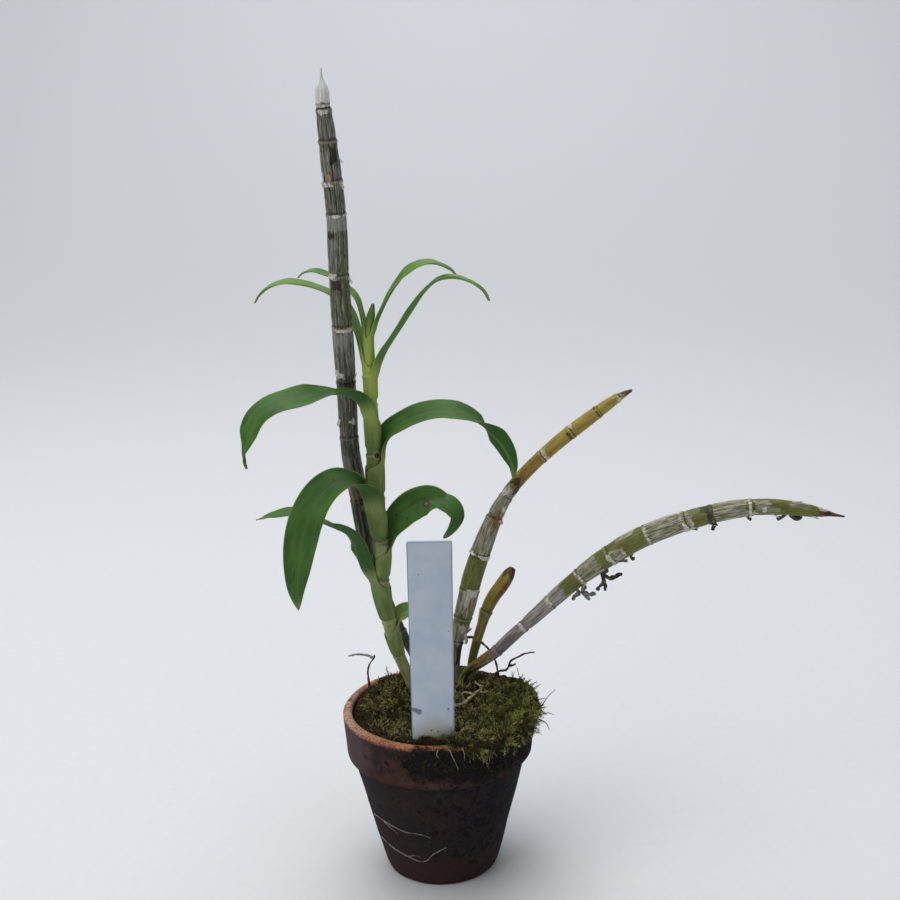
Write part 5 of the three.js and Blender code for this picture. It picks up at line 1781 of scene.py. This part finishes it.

# %% [markdown]
# The upper face is darker and glossier than the lower one, and the margin is a thin pale line. A
# lighter sheen colour, in patches and along the veins of the upper face, is a painted highlight. The
# veins of an orchid leaf run side by side from foot to tip, so they are noise that is stretched
# along the blade, with a groove over the midrib whose dark line on the upper face is painted shade.
# Blemishes are read from the distance that the mesh carries: a brown ring round a pinkish middle for
# the eye, a dark dot for the others.


# %% Finish the leaves
def leaf_finish(name, top, painted_sheen, under, young, margin):
    """A leaf's finish: its two faces, veins, margin, sheath and blemishes."""
    blade = Finish(name, 0.38)
    veins = blade.grain(blade.place("blade", (1, 1, 0.03)), 0.75 * MM, 2, 0.5)
    fine_veins = blade.grain(blade.place("blade", (1, 1, 0.04)), 0.25 * MM, 1, 0.5)
    patches = blade.grain(blade.place("blade", (1, 1, 0.5)), 7 * MM, 3, 0.5)
    pores = blade.grain(blade.place(), 0.3 * MM, 2, 0.6)
    from_rib = blade.coordinate(blade.place("blade"), "X")
    off_rib = blade.maths("ABSOLUTE", from_rib)
    upper = blade.step(blade.mark("upper"), 0.3, 0.7)

    # Painted highlight: the sheen colour lies over the upper face in patches and along the veins.
    face = blade.mix(blade.step(patches, 0.35, 0.7), top, painted_sheen)
    face = blade.mix(blade.step(veins, 0.45, 0.65) * 0.22, face, painted_sheen)
    back = blade.mix(blade.step(patches, 0.3, 0.7), under, top)
    blade.paint = blade.mix(upper, back, face)
    blade.wash(blade.step(fine_veins, 0.5, 0.7) * 0.12, young)
    rib_line = 1 - blade.step(off_rib, 0.1 * MM, 0.75 * MM)
    blade.wash(rib_line * (0.38 - upper * 0.2), young)
    # Painted shade: a dark line in the crease over the midrib, on the upper face.
    crease = 1 - blade.step(off_rib, 0.0, 0.25 * MM)
    blade.wash(crease * upper * 0.6, "#2a4520")
    tip = blade.step(blade.mark("length") + patches * 0.06, 0.95, 1.03)
    blade.wash(tip * 0.7, "#8b8a4b")
    edge = blade.step(blade.mark("margin"), 0.93, 0.985)
    blade.wash(edge * 0.6, margin)
    wrap = blade.mix(blade.step(patches, 0.3, 0.7), STEM_PALE, STEM_GREEN)
    height = blade.coordinate(blade.place(), "Z")
    wrap = blade.mix(blade.step(height, 158 * MM, 176 * MM), wrap, STEM_UPPER_GREEN)
    wrap = blade.mix(blade.step(veins, 0.45, 0.7) * 0.3, wrap, "#48602a")
    blade.wash(blade.mark("sheath") * 0.9, wrap)

    dot = blade.step(blade.mark("spot") - pores * 0.5, 0.5, 1.2)
    blade.wash(dot * 0.85, "#1d2415")
    eye = blade.mark("eye") - pores * 0.3
    blade.wash(blade.step(eye, 0.55, 0.95) * 0.9, "#43281c")
    blade.wash(blade.step(eye, 1.2, 1.5) * 0.85, "#9a6f66")

    shine = 0.5 + patches * 0.14 + (1 - upper) * 0.15 + dot * 0.2
    relief = veins * 0.5 + fine_veins * 0.25 + pores * 0.12
    return blade.finish(shine, relief, 0.12 * MM)


old_leaf = leaf_finish("leaf_green", "#2d5815", "#477526", "#2f5a22", "#7d9a3e", "#93a94c")
young_leaf = leaf_finish("leaf_young_green", "#56802e", "#739848", "#4f7a39", "#9cb356", "#aabd66")
YOUNG = ("leaf_upper_left", "leaf_top_left", "leaf_top_right", "leaf_upper_right", "leaf_low_right")
for name, piece in leaves.items():
    young = name in YOUNG
    finished(piece, young_leaf if young else old_leaf, "young_leaf" if young else "leaf", name)

# %% [markdown]
# ## Roots
# Orchid roots like air. Dark ones have left the pot and loop behind the canes, a pale dead one
# creeps over the moss, two dry ones cling to the pot's front, and fine threads hang over the collar.
# All of them are strands: the same tapering tube along a line, with knots where they have dried.

# %% Grow the roots in the air
AIR_ROOTS = {
    "aerial_root_left": [
        [[-25.5, 12, 56], [-26.1, 12.2, 65], [-26.4, 13, 70], [-25.4, 13, 72.8], [-24, 13, 74.7],
         [-23.6, 13, 76]],
        [[-24, 13, 74.7], [-26.8, 12.3, 76.2], [-30, 11, 77.2], [-33.3, 9, 77.4]],
    ],
    "aerial_root_loop": [
        [[10, 15.6, 81.2], [13.8, 20, 79], [16.4, 21, 76.8], [19.8, 20, 73.5], [21.6, 19, 70.2],
         [22.3, 18, 67.3], [22.4, 17.2, 57]],
    ],
    "aerial_root_right": [
        [[19.6, 20.4, 56], [21, 20.2, 63], [23.4, 20, 65.2], [25.8, 20, 65.6], [26.9, 20, 67.2],
         [27.7, 20, 69.2], [30.4, 20, 70.8], [33.2, 21, 71.7], [37, 22, 71.8]],
        [[26.9, 20, 67.2], [28.4, 19.6, 67.6], [29.6, 19.4, 68.4]],
    ],
}
BLEACHED = "aerial_root_left"  # the root whose side branch has gone white

wiry_root = dry_skin("wiry_root", "#1f1719", "#6a5850")
for name, routes in AIR_ROOTS.items():
    parts = strands(name, routes, [0.56], 10, 0.5, 0.45, 0.35)
    if name == BLEACHED:
        white_branch = parts.pop()
    finished(join(name + "_strand", parts), wiry_root, "dark_root", name)
finished(white_branch, dry_skin("bleached_root", "#8b857b", "#d8d3c8"), "dark_root")

# %% [markdown]
# The pale root creeps over the moss, so only its plan is written down. Its height is read from the
# moss bed: the highest point close to each place.

# %% Grow the creeping root
pale_root = dry_skin("pale_root", "#6d5e49", "#d3c5a2")


def on_moss(places, above):
    """Lays a route, given in plan, on the moss bed."""
    points, normals = corners_of(moss_bed)
    flat = (points - AXIS)[normals[:, 2] > 0.1] / MM
    route = []
    for x, y in places:
        near = np.hypot(flat[:, 0] - x, flat[:, 1] - y) < 1.2
        route.append([x, y, np.max(flat[near, 2]) + above])
    return route


CREEPING = [
    [[5.3, -12], [8.6, -8], [11.5, -4], [13.8, 0], [15.6, 3], [16.6, 6]],
    [[12.6, -2], [10.4, -0.6], [8, 0.2]],
    [[15, 2], [16.8, 1.4], [18.4, 2.4]],
    [[16.2, 4.8], [14.4, 6.4], [13.4, 8.6]],
]
routes = [on_moss(route, 1.8) for route in CREEPING]
parts = strands("creeping", routes, [0.66, 0.45], 10, 0.6, 0.6, 0.4)
finished(join("creeping_root_strand", parts), pale_root, "pale_root", "creeping_root")

# %% [markdown]
# The roots on the pot's outside follow its wall, so their places are written as an angle round the
# pot and a height, and the wall's own taper gives the radius.


# %% Lay roots on the pot's wall
def on_wall(places, thick):
    """A route on the pot's outside, from angles in degrees and heights."""
    route = []
    for degrees, z in places:
        body = blend(FOOT_RADIUS, NECK_RADIUS, z / COLLAR_BOTTOM)
        band = blend(COLLAR_RADIUS, RIM, (z - COLLAR_BOTTOM) / (POT_HEIGHT - COLLAR_BOTTOM))
        radius = (body if z < COLLAR_BOTTOM else band) + thick
        turn = math.radians(degrees)
        route.append([radius * math.cos(turn), radius * math.sin(turn), z])
    return route


CLINGING = {
    "clinging_root_upper": [
        [[-154, 24.4], [-133, 24.6], [-118, 23.6], [-104, 23.6], [-98, 22.4]],
        [[-140, 24.6], [-132, 22.9], [-126, 21.4]],
    ],
    "clinging_root_lower": [
        [[-154, 14.6], [-134, 13.2], [-118, 11.8], [-106, 11.1], [-96, 15.3], [-86, 18.2]],
        [[-121, 12], [-114, 13.2], [-108, 13]],
    ],
}
grey_root = dry_skin("grey_root", "#5d564e", "#a39d93")
for name, routes in CLINGING.items():
    routes = [on_wall(route, 0.22) for route in routes]
    parts = strands(name, routes, [0.34, 0.22], 8, 0.5, 0.6, 0.35)
    finished(join(name + "_strand", parts), grey_root, "pale_root", name)

HANGING = [
    [[-84, 61.4], [-82.5, 58.5], [-80, 54.6], [-79, 52.4]],
    [[-77, 61.6], [-75.6, 58.6], [-75.8, 56]],
    [[-66, 62], [-65, 59], [-61.5, 56.4], [-62, 54]],
    [[-58, 62], [-57.4, 59.4], [-59.5, 56.8], [-60.5, 53.6]],
    [[-90, 61.4], [-91, 59.4], [-89.6, 57.6]],
    [[-30, 61], [-29, 57.6], [-30.5, 54.5]],
]
parts = strands("thread", [on_wall(route, 0.7) for route in HANGING], [0.2], 6, 0.4, 0.4, 0.5)
finished(join("hanging_root_threads", parts), pale_root, "pale_root")

# %% [markdown]
# Straw-coloured threads lie criss-cross on the moss, and a few tall green ones stand up at the right
# rim. Each straw starts at a random seat on the bed and wanders a short way.

# %% Strew loose straws
STRAWS = 46
chance = np.random.default_rng(5)
seats, facing = moss_seats(STRAWS, chance, 0.5)
straws = []
for i, (seat, normal) in enumerate(zip((seats - AXIS) / MM, facing)):
    drift = chance.normal(size=2)
    reach = chance.uniform(2.2, 5.5)
    steps = unit(np.array([drift[0], drift[1], 0.0])) * reach
    swing = chance.normal(size=3) * 0.6
    route = [
        seat - normal * 0.3,
        seat + steps * 0.35 + [0, 0, 1.1] + swing * 0.5,
        seat + steps * 0.75 + [0, 0, 1.3] + swing,
        seat + steps + [0, 0, 0.5],
    ]
    straws.append(strand(f"straw_{i}", route, 0.14, 5, 0.5, 0.3, 0.6))
finished(join("straw_threads", straws), pale_root, "pale_root")

# %% [markdown]
# A few thin stalks stand above the moss.

# %% Raise the tall moss stalks
SPROUTS = [
    [[36.5, -6, 61], [38.4, -6.4, 64.5], [40.2, -6.8, 67.2], [42.4, -7.2, 69.4]],
    [[36.8, -8, 60], [39.4, -9, 61.2], [41.8, -9.6, 60.6]],
    [[30.5, 4, 63], [30.2, 4, 68], [29, 3.8, 74]],
    [[27, 10, 63], [27.6, 10, 67], [28.8, 10, 69.6]],
    [[35.8, -12, 60.5], [38.6, -13.2, 59], [39.6, -13.8, 56.4]],
    [[33.6, 2, 63], [35.4, 2.2, 66], [38, 2.4, 67.4]],
]
stems = join("tall_moss_stalks", strands("sprout", SPROUTS, [0.22], 6, 0.4, 0.2, 0.5))
add_mark(stems, "tone", np.full(len(stems.data.vertices), 0.75))
finished(stems, moss_green, "moss")

# %% [markdown]
# A few reddish scraps of dead petal lie on the moss near the back. They are copies of the crumb that
# was made for the collar, only redder and a little larger.

# %% Drop a few red bits
SCRAPS = [[21.5, 16], [23.4, 15.2], [22.6, 17.4], [24.6, 13.4]]
chance = np.random.default_rng(41)
places = np.array(on_moss(SCRAPS, 0.9)) * MM + AXIS
turns = random_turns(chance, np.tile([0.0, -0.3, 1.0], (len(SCRAPS), 1)), 0.6)
sizes = chance.uniform(0.4, 0.8, len(SCRAPS)) * MM
tones = np.ones(len(SCRAPS))
red_bits = scattered("fallen_petal_bits", crumb, places, turns, sizes, tones)
petal = Finish("dry_petal", 0.3)
shades = petal.grain(petal.place(), 0.6 * MM)
petal.paint = petal.mix(shades, "#33120d", "#74261a")
finished(red_bits, petal.finish(0.8, shades, 0.1 * MM), "bark_mix")

# %% [markdown]
# ## Label
# The label is a strip of white plastic, pushed into the moss at the front and leaning out over the
# rim. It is a cube brought to the strip's size. A bisect cuts it where the point begins, the lowest
# face is made narrow, and a bevel takes the sharpness off all the edges. It carries no words.

# %% Cut the label
LABEL_WIDTH, LABEL_THICK, LABEL_TOP, LABEL_LENGTH, LABEL_POINT = 14.6, 0.9, 78.2, 101.0, 12.0
POINT_SHARE = 0.25

bpy.ops.object.select_all(action="DESELECT")
bpy.ops.mesh.primitive_cube_add(size=1, location=(0, 0, (LABEL_TOP - LABEL_LENGTH / 2) * MM))
label = bpy.context.object
label.name = label.data.name = "label_strip"
label.scale = (LABEL_WIDTH * MM, LABEL_THICK * MM, LABEL_LENGTH * MM)
bpy.ops.object.transform_apply(location=True, scale=True)
bpy.ops.object.mode_set(mode="EDIT")
bpy.ops.mesh.select_all(action="SELECT")
cut = (0, 0, (LABEL_TOP - LABEL_LENGTH + LABEL_POINT) * MM)
bpy.ops.mesh.bisect(plane_co=cut, plane_no=(0, 0, 1))
bpy.ops.mesh.select_all(action="DESELECT")
bpy.ops.object.mode_set(mode="OBJECT")
bottom = min(v.co.z for v in label.data.vertices)
for face in label.data.polygons:
    face.select = face.normal.z < -0.9
bpy.ops.object.mode_set(mode="EDIT")
bpy.ops.mesh.select_mode(type="FACE")
bpy.ops.transform.resize(value=(POINT_SHARE, 1, 1), center_override=(0, 0, bottom))
bpy.ops.mesh.select_all(action="SELECT")
bpy.ops.mesh.normals_make_consistent(inside=False)
bpy.ops.object.mode_set(mode="OBJECT")
print("label, cut:", [round(d, 4) for d in label.dimensions])

# %% [markdown]
# A bevel rounds the two upper corners. A narrow Bevel modifier then breaks all sharp edges, and the
# strip is set at its place in the moss.

# %% Round the label and set it
LABEL_FOOT = np.array([-1.7, -28.5, 62.5])
LABEL_LEAN, LABEL_TILT = math.radians(12.9), math.radians(0.6)
CORNER_RADIUS, EDGE_RADIUS = 0.9, 0.14

for edge in label.data.edges:
    ends = [label.data.vertices[i].co for i in edge.vertices]
    level = abs(ends[0].z - ends[1].z) < 1e-6 and abs(ends[0].x - ends[1].x) < 1e-6
    edge.select = level and ends[0].z > 0
bpy.ops.object.mode_set(mode="EDIT")
bpy.ops.mesh.select_mode(type="EDGE")
bpy.ops.mesh.bevel(offset=CORNER_RADIUS * MM, segments=5)
bpy.ops.object.mode_set(mode="OBJECT")
rounded = label.modifiers.new("edges", "BEVEL")
rounded.width = EDGE_RADIUS * MM
rounded.segments = 2
rounded.limit_method = "ANGLE"
apply_for_good(label, rounded)
label.rotation_euler = (LABEL_LEAN, LABEL_TILT, 0)
label.location = LABEL_FOOT * MM + AXIS
bpy.ops.object.transform_apply(location=True, rotation=True, scale=True)
bpy.ops.object.shade_smooth_by_angle(angle=math.radians(30))
print("label:", [round(d, 4) for d in label.dimensions])

# %% [markdown]
# Plastic labels look flat until one sees their life: white, yellowed where the moss keeps it
# damp, a smudge of grey soil, a few dark specks and faint scratches along it. The white is painted
# as a pale blue-grey: a painted reflection of blue surroundings, and painted shade.


# %% Finish the label
def on_label(x, up):
    """A place on the label's front, from its middle line and from where it leaves the moss."""
    turn = Matrix.Rotation(LABEL_LEAN, 3, "X")
    return list(np.array(turn @ Vector((x, -LABEL_THICK / 2, up))) * MM + LABEL_FOOT * MM + AXIS)


plastic = Finish("label_plastic", 0.45, 0.05)
where = plastic.place()
cloud = plastic.grain(where, 9 * MM)
dust = plastic.grain(where, 0.7 * MM, 5, 0.7)
smear = plastic.grain(where, 1.8 * MM, 5, 0.65)
scratches = plastic.grain(plastic.place(None, (1, 1, 0.04)), 0.25 * MM, 2)
# Painted reflection and shade: the white plastic is given a pale blue-grey.
plastic.paint = plastic.mix(plastic.step(cloud, 0.35, 0.7), "#b9c6d6", "#c6d1de")
damp = plastic.near(where, on_label(0, 1), 11 * MM)
plastic.wash(damp * 0.75, "#b7b08f")
smudge = plastic.near(where, on_label(-4.6, 11.2), 2.8 * MM)
smudge = smudge + plastic.near(where, on_label(-6.4, 12.4), 1.6 * MM)
grey = plastic.step(smudge + smear * 0.9, 0.85, 1.25)
plastic.wash(grey * 0.8, "#4d5668")
DOTS = [(5.4, 12.2, 0.55), (-0.6, 3.2, 0.5), (1.6, 2.6, 0.5), (6.2, 44, 0.35), (-3, 66, 0.3)]
for x, up, radius in DOTS:
    close = plastic.near(where, on_label(x, up), radius * 1.4 * MM)
    dot = plastic.step(close + dust * 0.3, 0.55, 0.8)
    plastic.wash(dot * 0.85, "#2e3340")
plastic.wash(plastic.step(dust, 0.62, 0.78) * 0.18, "#6f7683")
rough = 0.42 + scratches * 0.1 + damp * 0.2
label_finish = plastic.finish(rough, scratches + dust * 0.5, 0.03 * MM)
finished(label, label_finish, "label_plastic", "plant_label")

# %% [markdown]
# ## What stays hidden
# The rhizome joins the canes inside the pot and is never seen from outside, but it is part of the
# plant, so its plain solid stays and gets the root's finish.

# %% Finish the rhizome
rhizome = frame["nodes"]["rhizome"]
rhizome_skin = Finish("rhizome_skin")
scales = rhizome_skin.grain(rhizome_skin.place(), 1.2 * MM, 4, 0.6)
rhizome_skin.paint = rhizome_skin.mix(rhizome_skin.step(scales, 0.35, 0.7), "#33291c", "#75654a")
give_finish(rhizome, rhizome_skin.finish(0.8, scales, 0.3 * MM))
print("finished", rhizome.name)

# %% [markdown]
# ## Sizes at the end
# The dressed plant has to keep the plain model's size, so both boxes are measured, and the dressed
# one is printed with the number of faces shown.

# %% Measure the sizes and finish
dressed_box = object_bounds()
sizes = {"plain": [list(c) for c in plain_box], "dressed": [list(c) for c in dressed_box]}
faces = sum(len(o.data.polygons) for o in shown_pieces())
print("faces shown:", faces, "box:", [[round(x, 4) for x in c] for c in sizes["dressed"]])
